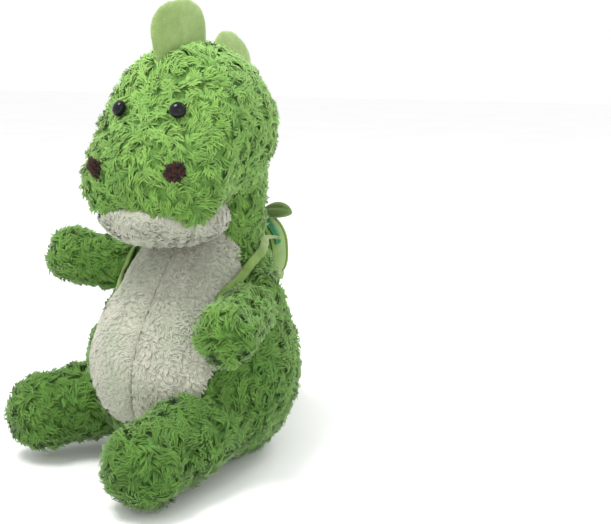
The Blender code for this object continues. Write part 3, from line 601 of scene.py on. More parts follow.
PAINTED_LIGHT_AND_SHADE_BY_HEIGHT = (  # painted shade low down and painted light on the crown, as the photograph's light shows it
    (0.0, (0.40, 0.50, 0.30, 1)), (0.35, (0.58, 0.66, 0.48, 1)), (0.55, (0.72, 0.78, 0.62, 1)),
    (0.68, (0.96, 0.96, 0.92, 1)), (0.88, (1.22, 1.18, 1.26, 1)))
# the first colour, at the roots, is painted shade; the last, at the tips, is painted light
GREEN = pile_look("green_pile_locks", srgb(84, 126, 50), srgb(102, 148, 62), srgb(118, 164, 72),
                  srgb(138, 180, 92), sheen=0.5, spread=0.16, by_height=PAINTED_LIGHT_AND_SHADE_BY_HEIGHT)
GROUND = backing_look()

# ---------------------------------------------------------------- green pile


def strap_clear(at):
    """Shorter pile where a strap presses on it."""
    share = np.ones(len(at))
    for x, y, z in STRAP_SHOWN:
        gap = np.linalg.norm(np.stack([np.abs(at[:, 0]), at[:, 1], at[:, 2]], 1) - (x, y, z), axis=1)
        share = np.minimum(share, np.clip((gap - 0.004) / 0.013, 0.2, 1))
    return share


def limb_keep(key):
    spec = LIMBS[key]

    def keep(at, n):
        share = np.ones(len(at))
        share[torso_gap(at) < -0.004] = 0
        for other, its in LIMBS.items():
            if other != key:
                share[limb_gap(at, its) < -0.010] = 0
        under = (at[:, 2] < 0.012) & (n[:, 2] < -0.5)
        share[under] = np.minimum(share[under], 0.45)
        return share * strap_clear(at) if key == "arm_left" else share
    return keep


def torso_keep(at, n):
    share = np.ones(len(at))
    for spec in LIMBS.values():
        share[limb_gap(at, spec) < -0.014] = 0
    share[head_gap(at) < -0.012] = 0
    share[at[:, 2] > 0.285] = 0
    on_belly = belly_gap(at) < 0.0
    share[on_belly & (at[:, 1] < 0)] = 0
    under = (at[:, 2] < 0.012) & (n[:, 2] < -0.5)
    share[under] = np.minimum(share[under], 0.45)
    return share * strap_clear(at)


def belly_width(level):
    """Half width of the belly panel; level is -1 at its foot and 1 at its top."""
    return (0.078 - 0.012 * level) * np.sqrt(1 - level ** 2) ** np.where(level > 0, 0.65, 1.0)


def belly_gap(at):
    """Signed distance from the edge of the belly panel, seen from the front."""
    rise = (at[:, 2] - BELLY_MIDDLE) / BELLY_REACH
    gap = np.abs(at[:, 0]) - belly_width(np.clip(rise, -1, 1))
    return np.where(np.abs(rise) > 1, np.maximum(gap, (np.abs(rise) - 1) * BELLY_REACH), gap)


def face_point(x, z):
    """The Y of the face's outside at a place in X and Z."""
    front, back = HEAD_RINGS[-2, 0], 0.0
    for _ in range(30):
        middle = 0.5 * (front + back)
        centre, wide, tall = ring_at(HEAD_RINGS, middle)
        if (x / wide) ** 2 + ((z - centre) / tall) ** 2 > 1:
            front = middle
        else:
            back = middle
    return np.array((x, back, z))


def head_keep(at, n):
    share = np.ones(len(at))
    for x, z in EYES:
        gap = np.linalg.norm(at - face_point(x, z), axis=1)
        share = np.where(gap < 0.0105, 0.0, np.minimum(share, np.clip((gap - 0.005) / 0.016, 0.25, 1)))
    for x, z in NOSTRILS:
        gap = np.linalg.norm(at - face_point(x, z), axis=1)
        share = np.where(gap < 0.0110, 0.0, np.minimum(share, np.clip((gap - 0.006) / 0.014, 0.35, 1)))
    jaw = np.linalg.norm((at - JAW[0]) / JAW[1], axis=1)
    share[(jaw < 1.0) & (at[:, 2] < 0.280)] = 0
    neck = np.linalg.norm(at - NECK, axis=1)
    share[(neck < 0.054) & (n[:, 2] < 0)] = 0
    return share


def skin(name, form, body, nodes):
    dress(make_object(name, *form, GROUND), body, nodes)


COARSE = 1.0
PITCH, WIDTH = 0.0023 * COARSE, 0.0019
torso = torso_form(PILE)
skin("torso_backing", torso, "torso", ("torso_skin", "torso_filling"))
grow("torso_pile", *torso, "torso", GREEN, "green_pile", torso_keep, spacing=PITCH, width=WIDTH, parts=3)
head = head_form(HEAD_PILE)
skin("head_backing", head, "head", ("head_skin", "head_filling"))
grow("head_pile", *head, "head", GREEN, "green_pile", head_keep, spacing=PITCH, width=WIDTH, parts=3,
     rise=0.0066, length=0.0135)


def neck_keep(at, n):
    share = np.ones(len(at))
    share[head_gap(at) < -0.010] = 0
    share[torso_gap(at) < -0.010] = 0
    share[(at[:, 1] < -0.008) & (np.abs(at[:, 0]) < 0.058)] = 0
    share[n[:, 2] > 0.7] = 0
    return share


def hanging(at, n):
    return np.tile((0.0, 0.0, -0.7), (len(at), 1))


ruff = torso_form(PILE, NECK_RINGS)
collar = make_object("neck_backing", *ruff, GROUND)
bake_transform(collar)
for piece in grow("neck_pile", *ruff, None, GREEN, "green_pile", neck_keep, spacing=PITCH, width=WIDTH,
                  comb=hanging):
    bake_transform(piece)
for key in LIMBS:
    form = limb_form(LIMBS[key], PILE)
    nodes = (f"{key}_skin", f"{key}_filling")
    skin(f"{key}_backing", form, key, nodes)
    grow(f"{key}_pile", *form, key, GREEN, "green_pile", limb_keep(key), spacing=PITCH, width=WIDTH)

# ---------------------------------------------------------------- white pile: belly and chin


def belly_form(side, inset):
    """Half the belly panel as a closed thin pad that follows the torso, the seam down its inner edge."""
    across, down = 70, 150
    sign = 1.0 if side == "left" else -1.0
    z = np.linspace(0.0545, 0.2655, down)
    width = belly_width(np.clip((z - BELLY_MIDDLE) / (BELLY_REACH + 0.0002), -1, 1))
    share = np.linspace(0.0, 1.0, across)
    x = np.maximum(width, 0.004)[:, None] * share[None, :]
    centre, wide, deep = ring_at(smooth_rows(TORSO_RINGS, 400), z)
    seam = 0.0020 * np.exp(-(x / 0.0018) ** 2) + 0.0010 * np.exp(-(x / 0.0080) ** 2)
    rim = 0.0030 * np.exp(-((1 - share[None, :]) * width[:, None] / 0.004) ** 2)
    depth = inset + seam + rim
    inside = np.clip(1 - (x / (wide[:, None] - depth)) ** 2, 0.0025, 1)
    y = centre[:, None] - (deep[:, None] - depth) * np.sqrt(inside)
    front = np.stack([sign * x, y, np.repeat(z[:, None], across, 1)], 2)
    back = front + np.array((0, 0.004, 0))
    verts = np.vstack([front.reshape(-1, 3), back.reshape(-1, 3)])
    faces = []
    half = across * down

    def quad(a, b, c, d):
        faces.append((a, b, c, d) if sign > 0 else (d, c, b, a))
    for k in range(down - 1):
        for i in range(across - 1):
            a = k * across + i
            quad(a, a + 1, a + 1 + across, a + across)
            quad(half + a + across, half + a + 1 + across, half + a + 1, half + a)
        a, b = k * across, (k + 1) * across
        quad(a, b, half + b, half + a)
        a, b = a + across - 1, b + across - 1
        quad(half + a, half + b, b, a)
    for i in range(across - 1):
        a, b = i, (down - 1) * across + i
        quad(half + a, half + a + 1, a + 1, a)
        quad(b, b + 1, half + b + 1, half + b)
    return verts, faces, faces[0:(down - 1) * (across - 1) * 2:2]


# the first colour, at the roots, is painted shade; the last, at the tips, is painted light
WHITE = pile_look("white_pile_locks", srgb(168, 170, 152), srgb(176, 178, 160), srgb(184, 186, 168),
                  srgb(194, 196, 180), sheen=0.2, tint=(1, 1, 0.96, 1), spread=0.05)


def white_ground():
    # coloured as dark as the white pile's roots: painted shade where the ground shows between the tufts
    look, tree, shader = new_material("white_backing", srgb(176, 178, 160), 0.95, sheen=0.15)
    colour = ramp(tree, noise(tree, 380.0, 2.0), ((0.3, srgb(156, 158, 140)), (0.7, srgb(180, 182, 164))))
    tree.links.new(colour, shader.inputs["Base Color"])
    bump(tree, shader, noise(tree, 520.0, 2.0), 0.5, 0.001)
    return look


WHITE_GROUND = white_ground()


def everywhere(at, n):
    return np.ones(len(at))


def downward(at, n):
    return np.tile((0.0, 0.0, -0.8), (len(at), 1)) + 0.5 * np.sign(at[:, :1]) * np.array((1.0, 0, 0))


def belly_keep(at, n):
    share = np.clip(0.45 + np.abs(at[:, 0]) / 0.012, 0.45, 1)
    for key in ("leg_left", "leg_right"):
        share[limb_gap(at, LIMBS[key]) < -0.010] = 0
    return share


for side in ("left", "right"):
    verts, faces, front = belly_form(side, 0.0022)
    panel = make_object(f"belly_{side}_backing", verts, faces, WHITE_GROUND)
    dress(panel, "torso", (f"belly_panel_{side}",))
    grow(f"belly_{side}_pile", verts, front, "torso", WHITE, "white_pile", belly_keep,
         spacing=0.0018 * COARSE, length=0.0062, width=0.0016, rise=0.0022, rosette=0.030,
         tuft=0.0050, comb=downward, swirl=0.35)


def ellipsoid_form(centre, radii, inset, rings=60, segments=120):
    lat = np.radians(np.linspace(-90.0, 90.0, rings))
    turn = turns(segments)
    r = np.array(radii) - inset
    out = np.empty((rings, segments, 3))
    out[:, :, 0] = centre[0] + r[0] * np.cos(lat)[:, None] * np.cos(turn)
    out[:, :, 1] = centre[1] + r[1] * np.cos(lat)[:, None] * np.sin(turn)
    out[:, :, 2] = centre[2] + r[2] * np.sin(lat)[:, None]
    return tube(out)


jaw = ellipsoid_form(JAW[0], JAW[1], 0.0025)
dress(make_object("chin_backing", *jaw, WHITE_GROUND), "head", ("lower_jaw",))


def jaw_keep(at, n):
    share = np.ones(len(at))
    share[head_gap(at) < -0.006] = 0
    share[torso_gap(at) < -0.004] = 0
    return share


grow("chin_pile", *jaw, "head", WHITE, "white_pile", jaw_keep, spacing=0.0019 * COARSE, length=0.0062,
     width=0.0014, rise=0.0028, rosette=0.030, tuft=0.0050, swirl=0.35)

# ---------------------------------------------------------------- face


def disc_cap(place, outward, radius, height, rings=20, segments=64):
    """A domed cap, standing on place and facing outward, closed below."""
    side = unit(np.cross(outward, (0, 0, 1.0)))
    up = np.cross(side, outward)
    rise = np.radians(np.linspace(-60, 90, rings + 1))
    rows = np.stack([np.maximum(radius * np.cos(rise), 0.0002), height * np.sin(rise)], 1)
    turn = turns(segments)
    around = np.cos(turn)[None, :, None] * side + np.sin(turn)[None, :, None] * up
    return tube(place + rows[:, 0][:, None, None] * around + rows[:, 1][:, None, None] * outward)


def eye_look():
    """Glossy moulded black plastic with the faintest mottling and a clear coat."""
    look, tree, shader = new_material("eye_plastic", (0.004, 0.005, 0.006, 1), 0.10)
    shader.inputs["Coat Weight"].default_value = 0.1
    shader.inputs["Specular IOR Level"].default_value = 0.2
    shader.inputs["Coat Roughness"].default_value = 0.04
    stops = ((0.3, (0.003, 0.004, 0.005, 1)), (0.7, (0.008, 0.010, 0.012, 1)))
    mottling = ramp(tree, noise(tree, 160.0), stops)
    tree.links.new(mottling, shader.inputs["Base Color"])
    bump(tree, shader, noise(tree, 900.0), 0.02, 0.0002)
    return look


EYE_LOOK = eye_look()
# the first colour, at the roots, is painted shade; the last, at the tips, is painted light
BROWN = pile_look("nostril_locks", srgb(16, 8, 6), srgb(34, 16, 12), srgb(58, 28, 20), srgb(82, 44, 32),
                  sheen=0.1, tint=(1, 0.8, 0.7, 1), spread=0.2)
for side, (x, z) in zip(("left", "right"), EYES):
    place = face_point(x, z)
    outward = unit(place - HEAD_CORE)
    dome = disc_cap(place + outward * 0.0012, outward, 0.0086, 0.0066)
    dress(make_object(f"eye_{side}_dome", *dome, EYE_LOOK), "head",
          (f"eye_{side}", f"eye_washer_{side}"))
for side, (x, z) in zip(("left", "right"), NOSTRILS):
    place = face_point(x, z)
    outward = unit(place - HEAD_CORE)
    cap = disc_cap(place - outward * 0.0035, outward, 0.0098, 0.0034)
    dress(make_object(f"nostril_{side}_pad", *cap, BROWN), "head", (f"nostril_{side}",))
    grow(f"nostril_{side}_pile", *cap, "head", BROWN, "nostril_pile", everywhere, spacing=0.0011,
         length=0.0036, width=0.0010, rise=0.0026, rosette=0.009, tuft=0.0030)

# ---------------------------------------------------------------- velour spikes


def velour(name, dark, light, wrinkle=0.35, sheen=0.45, tint=(0.9, 1.0, 0.75, 1)):
    """Short-pile velour: soft broad shading, brushed patches, a fine nap and a sheen at the edges."""
    look, tree, shader = new_material(name, light, 0.85, sheen=sheen, sheen_tint=tint)
    broad = noise(tree, 34.0, 3.0, 0.55)
    brushed = noise(tree, 130.0, 2.0)
    nap = noise(tree, 900.0, 1.0)
    colour = between(tree, broad, 0.32, 0.68, dark, light)
    colour = varied(tree, colour, brushed, 0.92, 1.07)
    colour = varied(tree, colour, nap, 0.88, 1.10)
    tree.links.new(colour, shader.inputs["Base Color"])
    height = maths(tree, "ADD", maths(tree, "MULTIPLY", brushed, wrinkle), maths(tree, "MULTIPLY", nap, 0.25))
    bump(tree, shader, height, 0.45, 0.0012)
    return look


def evaluated(obj):
    """Applies the object's modifiers to its mesh."""
    bpy.context.view_layer.update()
    graph = bpy.context.evaluated_depsgraph_get()
    data = bpy.data.meshes.new_from_object(obj.evaluated_get(graph))
    old = obj.data
    obj.modifiers.clear()
    obj.data = data
    bpy.data.meshes.remove(old)


CLOTH_FRAMES = 16


def puffed(obj, voxel, pressure, cap, hold):
    """Remeshes a padded form and lets it swell a little as cloth, by no more than cap; hold(points) gives
    how firmly a point stays."""
    remesh = obj.modifiers.new("remesh", "REMESH")
    remesh.mode = "VOXEL"
    remesh.voxel_size = voxel
    evaluated(obj)
    rest = np.array([v.co for v in obj.data.vertices])
    group = obj.vertex_groups.new(name="pin")
    for index, weight in enumerate(hold(rest)):
        if weight > 0.01:
            group.add([index], float(weight), "REPLACE")
    cloth = obj.modifiers.new("cloth", "CLOTH")
    settings = cloth.settings
    settings.use_pressure = True
    settings.uniform_pressure_force = pressure
    settings.effector_weights.gravity = 0.0
    settings.quality = 6
    settings.mass = 0.15
    settings.tension_stiffness = 18
    settings.compression_stiffness = 18
    settings.shear_stiffness = 6
    settings.bending_stiffness = 0.15
    settings.vertex_group_mass = "pin"
    cloth.collision_settings.use_collision = False
    scene = bpy.context.scene
    for step in range(1, CLOTH_FRAMES + 1):
        scene.frame_set(step)
    evaluated(obj)
    scene.frame_set(1)
    after = np.array([v.co for v in obj.data.vertices])
    move = after - rest
    far = np.linalg.norm(move, axis=1, keepdims=True)
    after = rest + move * np.minimum(1, cap / np.maximum(far, 1e-9))
    obj.data.vertices.foreach_set("co", after.ravel())
    obj.data.update()
    smooth = obj.modifiers.new("smooth", "SMOOTH")
    smooth.factor = 0.5
    smooth.iterations = 3
    finer = obj.modifiers.new("finer", "SUBSURF")
    finer.levels = 1
    finer.render_levels = 1
    evaluated(obj)
    obj.vertex_groups.clear()
    obj.data.polygons.foreach_set("use_smooth", [True] * len(obj.data.polygons))


LIME = velour("spike_velour_cloth", srgb(128, 154, 84), srgb(146, 172, 104))


def spike_axes(direction, twist):
    up = Vector(direction).normalized()
    across = Matrix.Rotation(radians(twist), 3, up) @ Vector((1, 0, 0))
    return np.array(up), np.array(across), np.array(up.cross(across).normalized())


for name, (base, direction, height, width, twist) in SPIKES.items():
    up, across, along = spike_axes(direction, twist)
    base = np.array(base)
    levels = smooth_rows(((-0.20, 0.86, 0.82), (0.05, 0.94, 1.0), (0.30, 1.00, 1.0), (0.55, 0.99, 0.95),
                          (0.76, 0.86, 0.84), (0.90, 0.62, 0.62), (0.98, 0.34, 0.34)), 30)
    turn = turns(48)
    cosine, sine = np.cos(turn), np.sin(turn)
    rings = (base + up * height * levels[:, 0, None, None]
             + along * (0.5 * width * levels[:, 1, None, None] * cosine[None, :, None])
             + across * (0.5 * 0.0125 * levels[:, 2, None, None]
                         * (np.sign(sine) * np.abs(sine) ** 0.8)[None, :, None]))
    spike = make_object(f"{name}_pad", *tube(rings), LIME)

    def seam_hold(points):
        flatness = np.abs((points - base) @ across)
        return np.clip(1.0 - flatness / 0.0022, 0, 1) * 0.95
    puffed(spike, 0.0026 if name.startswith("head") else 0.0020, 3.0, 0.0035, seam_hold)
    dress(spike, "head" if name.startswith("head") else "tail", (name,))

# ---------------------------------------------------------------- backpack

BAG = Matrix.Translation((0.0, 0.1090, 0.204)) @ Matrix.Rotation(radians(7.0), 4, "X")
BAG_DEPTH, BAG_TOP, BAG_RISE, BAG_LOW_WIDTH, BAG_LOW_HEIGHT = 0.034, 0.038, 0.006, 0.042, 0.052
ZIP_DEPTH = 0.013


def in_bag(points):
    points = np.asarray(points, float)
    m = np.array(BAG)
    return points @ m[:3, :3].T + m[:3, 3]


def avocado(angle, inset=0.0):
    """Outline of the bag: a round top over a fuller lower end."""
    rise = np.sin(angle)
    swell = (BAG_LOW_WIDTH - BAG_TOP) * np.sin(2 * angle) ** 2
    wide = np.where(rise >= 0, BAG_TOP, BAG_TOP + swell) - inset
    tall = np.where(rise >= 0, BAG_TOP - inset, BAG_LOW_HEIGHT - inset)
    return wide * np.cos(angle), BAG_RISE + tall * rise


def bag_rings(levels, segments=160, pucker=None):
    """Rings of (depth, inset) in the bag's own axes; pucker(angle, inset) adds depth."""
    angle = turns(segments)
    rings = []
    for depth, inset in levels:
        x, z = avocado(angle, inset)
        y = np.full(segments, float(depth))
        if pucker is not None:
            y = y + pucker(angle, inset)
        rings.append(in_bag(np.stack([x, y, z], 1)))
    return np.array(rings)


def fabric_piece(name, form, look, body, nodes):
    dress(make_object(name, *form, look), body, nodes)


def face_puckers(angle, inset):
    """Gathers that run in from the rim seam, and the dent beside the stem."""
    fade = np.exp(-max(inset - 0.001, 0) / 0.0065)
    start = min(max(inset / 0.003, 0), 1)
    gathers = 0.0011 * np.sin(9 * angle + 0.7) * np.sin(5 * angle + 1.9) + 0.0005 * np.sin(21 * angle)
    dent = -0.0042 * np.exp(-((angle - radians(122)) / 0.16) ** 2) * np.exp(-max(inset, 0) / 0.011)
    low = -0.0018 * np.exp(-((angle - radians(322)) / 0.14) ** 2) * np.exp(-max(inset, 0) / 0.012)
    return start * (fade * gathers + dent + low)


BAG_LIME = velour("bag_lime_velour", srgb(132, 158, 84), srgb(158, 182, 110), wrinkle=0.5)
BAG_OLIVE = velour("bag_olive_velour", srgb(92, 124, 50), srgb(116, 146, 68), wrinkle=0.4)
WARM = (1.0, 0.7, 0.5, 1)
BAG_BROWN = velour("bag_brown_velour", srgb(34, 18, 10), srgb(58, 32, 20), sheen=0.25, tint=WARM)
STEM_BROWN = velour("stem_brown_velour", srgb(58, 26, 14), srgb(86, 40, 24), sheen=0.3, tint=WARM)
LEAF_GREEN = velour("leaf_velour_cloth", srgb(76, 104, 42), srgb(100, 130, 62), wrinkle=0.4)

front_levels = [(BAG_DEPTH + 0.0003, 0.0030), (BAG_DEPTH + 0.0003, 0.0), (BAG_DEPTH + 0.0014, -0.0010),
                (BAG_DEPTH + 0.0030, -0.0006)]
for inset in np.linspace(0.0008, 0.0365, 34):
    share = min(inset / 0.020, 1)
    front_levels.append((BAG_DEPTH + 0.0030 + 0.0072 * sin(share * pi / 2) ** 0.8
                         - 0.0016 * np.exp(-((inset - 0.0145) / 0.0022) ** 2), inset))
fabric_piece("bag_face", tube(bag_rings(front_levels, pucker=face_puckers)), BAG_LIME, "torso",
             ("bag_front_panel",))


def gusset_bulge(share):
    return -0.0016 * sin(share * pi) ** 0.7


gusset_rows = [(0.0022, 0.0030), (0.0022, 0.0010)]
for share in np.linspace(0.0, 1.0, 15):
    gusset_rows.append((0.0022 + (BAG_DEPTH - 0.0028) * share, 0.0008 + gusset_bulge(share)))
gusset_rows += [(BAG_DEPTH - 0.0004, 0.0012), (BAG_DEPTH - 0.0004, 0.0034), (BAG_DEPTH - 0.0016, 0.0040)]


def closed_band(rings):
    """A ring-shaped solid: the rings go round its section and close on themselves."""
    count, segments, _ = rings.shape
    return rings.reshape(-1, 3), [f[::-1] for f in ring_faces(count, segments, closed=True)]


def gusset_wrinkles(angle, inset):
    return 0.0004 * np.sin(11 * angle + 0.4) * np.sin(4 * angle)


fabric_piece("bag_side", closed_band(bag_rings(gusset_rows, pucker=gusset_wrinkles)), BAG_OLIVE,
             "torso", ("bag_gusset",))
back_levels = [(-0.0006, 0.006), (0.0, 0.0032), (0.0010, 0.0026), (0.0018, 0.0032), (0.0020, 0.006)]
fabric_piece("bag_back", tube(bag_rings(back_levels)), BAG_OLIVE, "torso", ("bag_back_panel",))


def piping(name, depth, inset, radius, look):
    """A sewn cord of cloth round the bag's edge."""
    angle = turns(240)
    rings = []
    for turn in turns(8):
        x, z = avocado(angle, inset - radius * cos(turn))
        y = depth + radius * np.sin(turn) + 0.0002 * np.sin(38 * angle)
        rings.append(in_bag(np.stack([x, y, z], 1)))
    dress(make_object(name, *closed_band(np.array(rings)), look), "torso")


piping("bag_piping_front", BAG_DEPTH + 0.0002, 0.0006, 0.0011, BAG_OLIVE)
piping("bag_piping_back", 0.0022, 0.0014, 0.0010, BAG_OLIVE)

PIT = np.array((0.0, BAG_DEPTH + 0.0090, -0.003))
turn = turns(96)
pit_rings = []
for rise in np.radians(np.linspace(-35, 90, 26)):
    reach, lift = max(cos(rise), 0.01), sin(rise)
    x = 0.0232 * reach * np.cos(turn) * (1 + 0.012 * np.sin(3 * turn))
    z = 0.0252 * reach * np.sin(turn) * (1 + 0.015 * np.sin(2 * turn + 1))
    y = np.full(96, 0.0062 * lift) + 0.0003 * np.sin(7 * turn + 2) * reach
    pit_rings.append(in_bag(PIT + np.stack([x, y, z], 1)))
fabric_piece("bag_pit", tube(np.array(pit_rings)), BAG_BROWN, "torso", ("bag_pit_patch",))


def thread_look():
    look, tree, shader = new_material("sewing_thread", srgb(116, 150, 66), 0.6)
    tree.links.new(ramp(tree, noise(tree, 1500.0), ((0.3, srgb(92, 124, 48)), (0.7, srgb(140, 174, 84)))),
                   shader.inputs["Base Color"])
    return look


THREAD = thread_look()


def stitches(name, line, outwards, length, gap, radius, body, look):
    """A row of raised stitches along a line of points."""
    line = np.asarray(line)
    steps = np.linalg.norm(np.diff(line, axis=0), axis=1)
    place = np.concatenate([[0], np.cumsum(steps)])
    verts, faces = [], []
    for start in np.arange(0, place[-1] - length, length + gap):
        ends = [np.array([np.interp(v, place, line[:, k]) for k in range(3)])
                for v in (start, start + length)]
        out = np.array([np.interp(start + length / 2, place, outwards[:, k]) for k in range(3)])
        axis = unit(ends[1] - ends[0])
        side = unit(np.cross(axis, out))
        base = len(verts)
        for share, size in ((0.0, 0.35), (0.2, 1.0), (0.8, 1.0), (1.0, 0.35)):
            lift = radius * (0.9 if 0.1 < share < 0.9 else 0.2)
            centre = ends[0] + (ends[1] - ends[0]) * share + out * lift
            for a in range(6):
                verts.append(centre + radius * size * (cos(a * pi / 3) * side + sin(a * pi / 3) * out))
        for k in range(3):
            for a in range(6):
                b = (a + 1) % 6
                faces.append((base + 6 * k + a, base + 6 * k + b, base + 6 * k + 6 + b, base + 6 * k + 6 + a))
        faces.append(tuple(base + a for a in range(6))[::-1])
        faces.append(tuple(base + 18 + a for a in range(6)))
    dress(make_object(name, verts, faces, look), body)


bag_out = in_bag(np.array((0, 1.0, 0))) - in_bag(np.array((0, 0, 0.0)))
angle = np.linspace(0, 2 * pi, 241)
x, z = avocado(angle, 0.0024)
seam_line = in_bag(np.stack([x, BAG_DEPTH + 0.0050 + face_puckers(angle, 0.0024), z], 1))
stitches("bag_face_stitches", seam_line, np.tile(bag_out, (241, 1)), 0.0022, 0.0012, 0.00028, "torso", THREAD)


def zip_look():
    """Woven zip tape, fine ribs across it."""
    look, tree, shader = new_material("zip_tape_cloth", srgb(24, 116, 62), 0.7)
    fine = noise(tree, 1400.0, 1.0)
    ribs = add(tree, "ShaderNodeTexWave", Scale=520.0, Distortion=1.0)
    tree.links.new(add(tree, "ShaderNodeTexCoord").outputs["Object"], ribs.inputs["Vector"])
    colour = mixed(tree, "MIX", ribs.outputs["Fac"], srgb(14, 98, 52), srgb(40, 138, 78))
    colour = varied(tree, colour, fine, 0.85, 1.12)
    tree.links.new(colour, shader.inputs["Base Color"])
    bump(tree, shader, ribs.outputs["Fac"], 0.4, 0.0004)
    return look


def zip_metal():
    look, tree, shader = new_material("zip_enamel", srgb(60, 120, 96), 0.32, metallic=0.35)
    worn = noise(tree, 420.0, 3.0)
    stops = ((0.3, srgb(40, 104, 78)), (0.62, srgb(76, 140, 112)), (0.8, srgb(160, 180, 168)))
    colour = ramp(tree, worn, stops)
    tree.links.new(colour, shader.inputs["Base Color"])
    tree.links.new(ramp(tree, worn, ((0.3, grey(0.28)), (0.7, grey(0.45)))), shader.inputs["Roughness"])
    bump(tree, shader, worn, 0.1, 0.0002)
    return look


ZIP_CLOTH, ZIP_METAL = zip_look(), zip_metal()


def arc_strip(start, end, depth, width, inner, outer, steps, waves):
    """A closed band on the bag's round top."""
    rings = []
    for a in np.linspace(start, end, steps):
        ring = []
        for u in np.linspace(-1, 1, 9):
            ring.append((outer + 0.0004 * (1 - u * u), depth + u * width / 2))
        for u in np.linspace(1, -1, 9):
            ring.append((inner, depth + u * width / 2))
        ring = np.array(ring)
        ring[:, 0] += waves * sin(31 * a)
        rings.append(in_bag(np.stack([ring[:, 0] * cos(a), ring[:, 1], BAG_RISE + ring[:, 0] * sin(a)], 1)))
    return tube(np.array(rings))


tape = make_object("zip_tape_cloth", *arc_strip(radians(8), radians(172), ZIP_DEPTH, 0.0120, BAG_TOP + 0.0012,
                                                BAG_TOP + 0.0022, 90, 0.00012), ZIP_CLOTH)
dress(tape, "torso", ("zip_tape",))
verts, faces = [], []
for number, a in enumerate(np.arange(radians(10), radians(170), 0.0019 / BAG_TOP)):
    shift = 0.0007 if number % 2 else -0.0007
    base = len(verts)
    for radius, half in ((BAG_TOP + 0.0024, 1.0), (BAG_TOP + 0.0031, 0.9), (BAG_TOP + 0.0036, 0.6)):
        for du, dv in ((-1, -1), (1, -1), (1, 1), (-1, 1)):
            b = a + dv * half * 0.00055 / BAG_TOP
            depth = ZIP_DEPTH + shift + du * half * 0.0014
            verts.append((radius * cos(b), depth, BAG_RISE + radius * sin(b)))
    for k in (0, 4):
        for m in range(4):
            n = (m + 1) % 4
            faces.append((base + k + m, base + k + 4 + m, base + k + 4 + n, base + k + n))
    faces.append((base + 8, base + 11, base + 10, base + 9))
    faces.append((base, base + 1, base + 2, base + 3))
teeth = make_object("zip_teeth", in_bag(verts), faces, ZIP_METAL, smooth=False)
dress(teeth, "torso")
for node in ("zip_slider", "zip_pull"):
    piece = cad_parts[node]
    piece.data.materials.clear()
    piece.data.materials.append(ZIP_METAL)

STEM_FOOT = np.array((-0.002, 0.0275, BAG_RISE + BAG_TOP + 0.0008))
stem_rows = smooth_rows(((0.0, 0.0040), (0.001, 0.0060), (0.008, 0.0056), (0.016, 0.0060), (0.0215, 0.0058),
                         (0.0240, 0.0042), (0.0250, 0.0012)), 24)
turn = turns(40)
lean = np.array((-0.10, 0.05, 1.0)) / np.linalg.norm((-0.10, 0.05, 1.0))
stem_side = unit(np.cross(lean, (0, 1.0, 0)))
stem_deep = np.cross(lean, stem_side)
stem_rings = (STEM_FOOT + lean * stem_rows[:, 0, None, None]
              + stem_rows[:, 1, None, None] * (stem_side * np.cos(turn)[None, :, None]
                                               + 0.8 * stem_deep * np.sin(turn)[None, :, None]))
fabric_piece("bag_stem_pad", tube(in_bag(stem_rings.reshape(-1, 3)).reshape(stem_rings.shape)), STEM_BROWN,
             "torso", ("bag_stem",))

LEAF_ROOT = in_bag(np.array((0.013, 0.0275, BAG_RISE + BAG_TOP + 0.0010)))
bag_turn = np.array(BAG)[:3, :3]
leaf_reach = unit(bag_turn @ np.array((1.0, 0.10, 0.10)))
leaf_up = unit(np.array((0, 0, 1.0)) - leaf_reach * leaf_reach[2])
leaf_wide = np.cross(leaf_up, leaf_reach)
leaf_up, leaf_wide = (leaf_up * cos(0.7) - leaf_wide * sin(0.7)), (leaf_wide * cos(0.7) + leaf_up * sin(0.7))
leaf_rings = []
leaf_rows = ((0.0, 0.22), (0.08, 0.50), (0.28, 0.90), (0.52, 1.02), (0.76, 0.82), (0.92, 0.46), (1.0, 0.10))
for share, spread in smooth_rows(leaf_rows, 36):
    c, s = np.cos(turn), np.sin(turn)
    crease = -0.0016 * np.exp(-(c / 0.16) ** 2) * np.sign(s) * spread
    droop = -0.0035 * share ** 2 + 0.0030 * spread * c ** 2
    lift = 0.0070 * sqrt(max(spread, 0.05)) * s * (1 - 0.5 * c ** 4) + crease + droop
    leaf_rings.append(LEAF_ROOT + leaf_reach * (0.036 * share) + leaf_wide * (0.0118 * spread * c)[:, None]
                      + leaf_up * lift[:, None])
fabric_piece("bag_leaf_pad", tube(np.array(leaf_rings)), LEAF_GREEN, "leaf", ("bag_leaf",))

# ---------------------------------------------------------------- shoulder straps


def clear_of_body(point, side, margin):
    """Moves a strap point out of the torso and out of the arm."""
    rows = TORSO_RINGS[:11]
    point = np.array(point, float)
    for _ in range(6):
        centre, wide, deep = ring_at(rows, point[2])
        reach = sqrt((point[0] / (wide + margin)) ** 2 + ((point[1] - centre) / (deep + margin)) ** 2)
        if reach < 1:
            point[0] /= reach
            point[1] = centre + (point[1] - centre) / reach
        shoulder, tip = (np.array(v) for v in LIMBS[f"arm_{side}"][:2])
        arm = tip - shoulder
        along = min(max((point - shoulder) @ arm / (arm @ arm), 0), 1)
        away = point - (shoulder + arm * along)
        distance = np.linalg.norm(away)
        if distance < 0.035 + margin:
            point = point + away / distance * (0.035 + margin - distance)
    return point


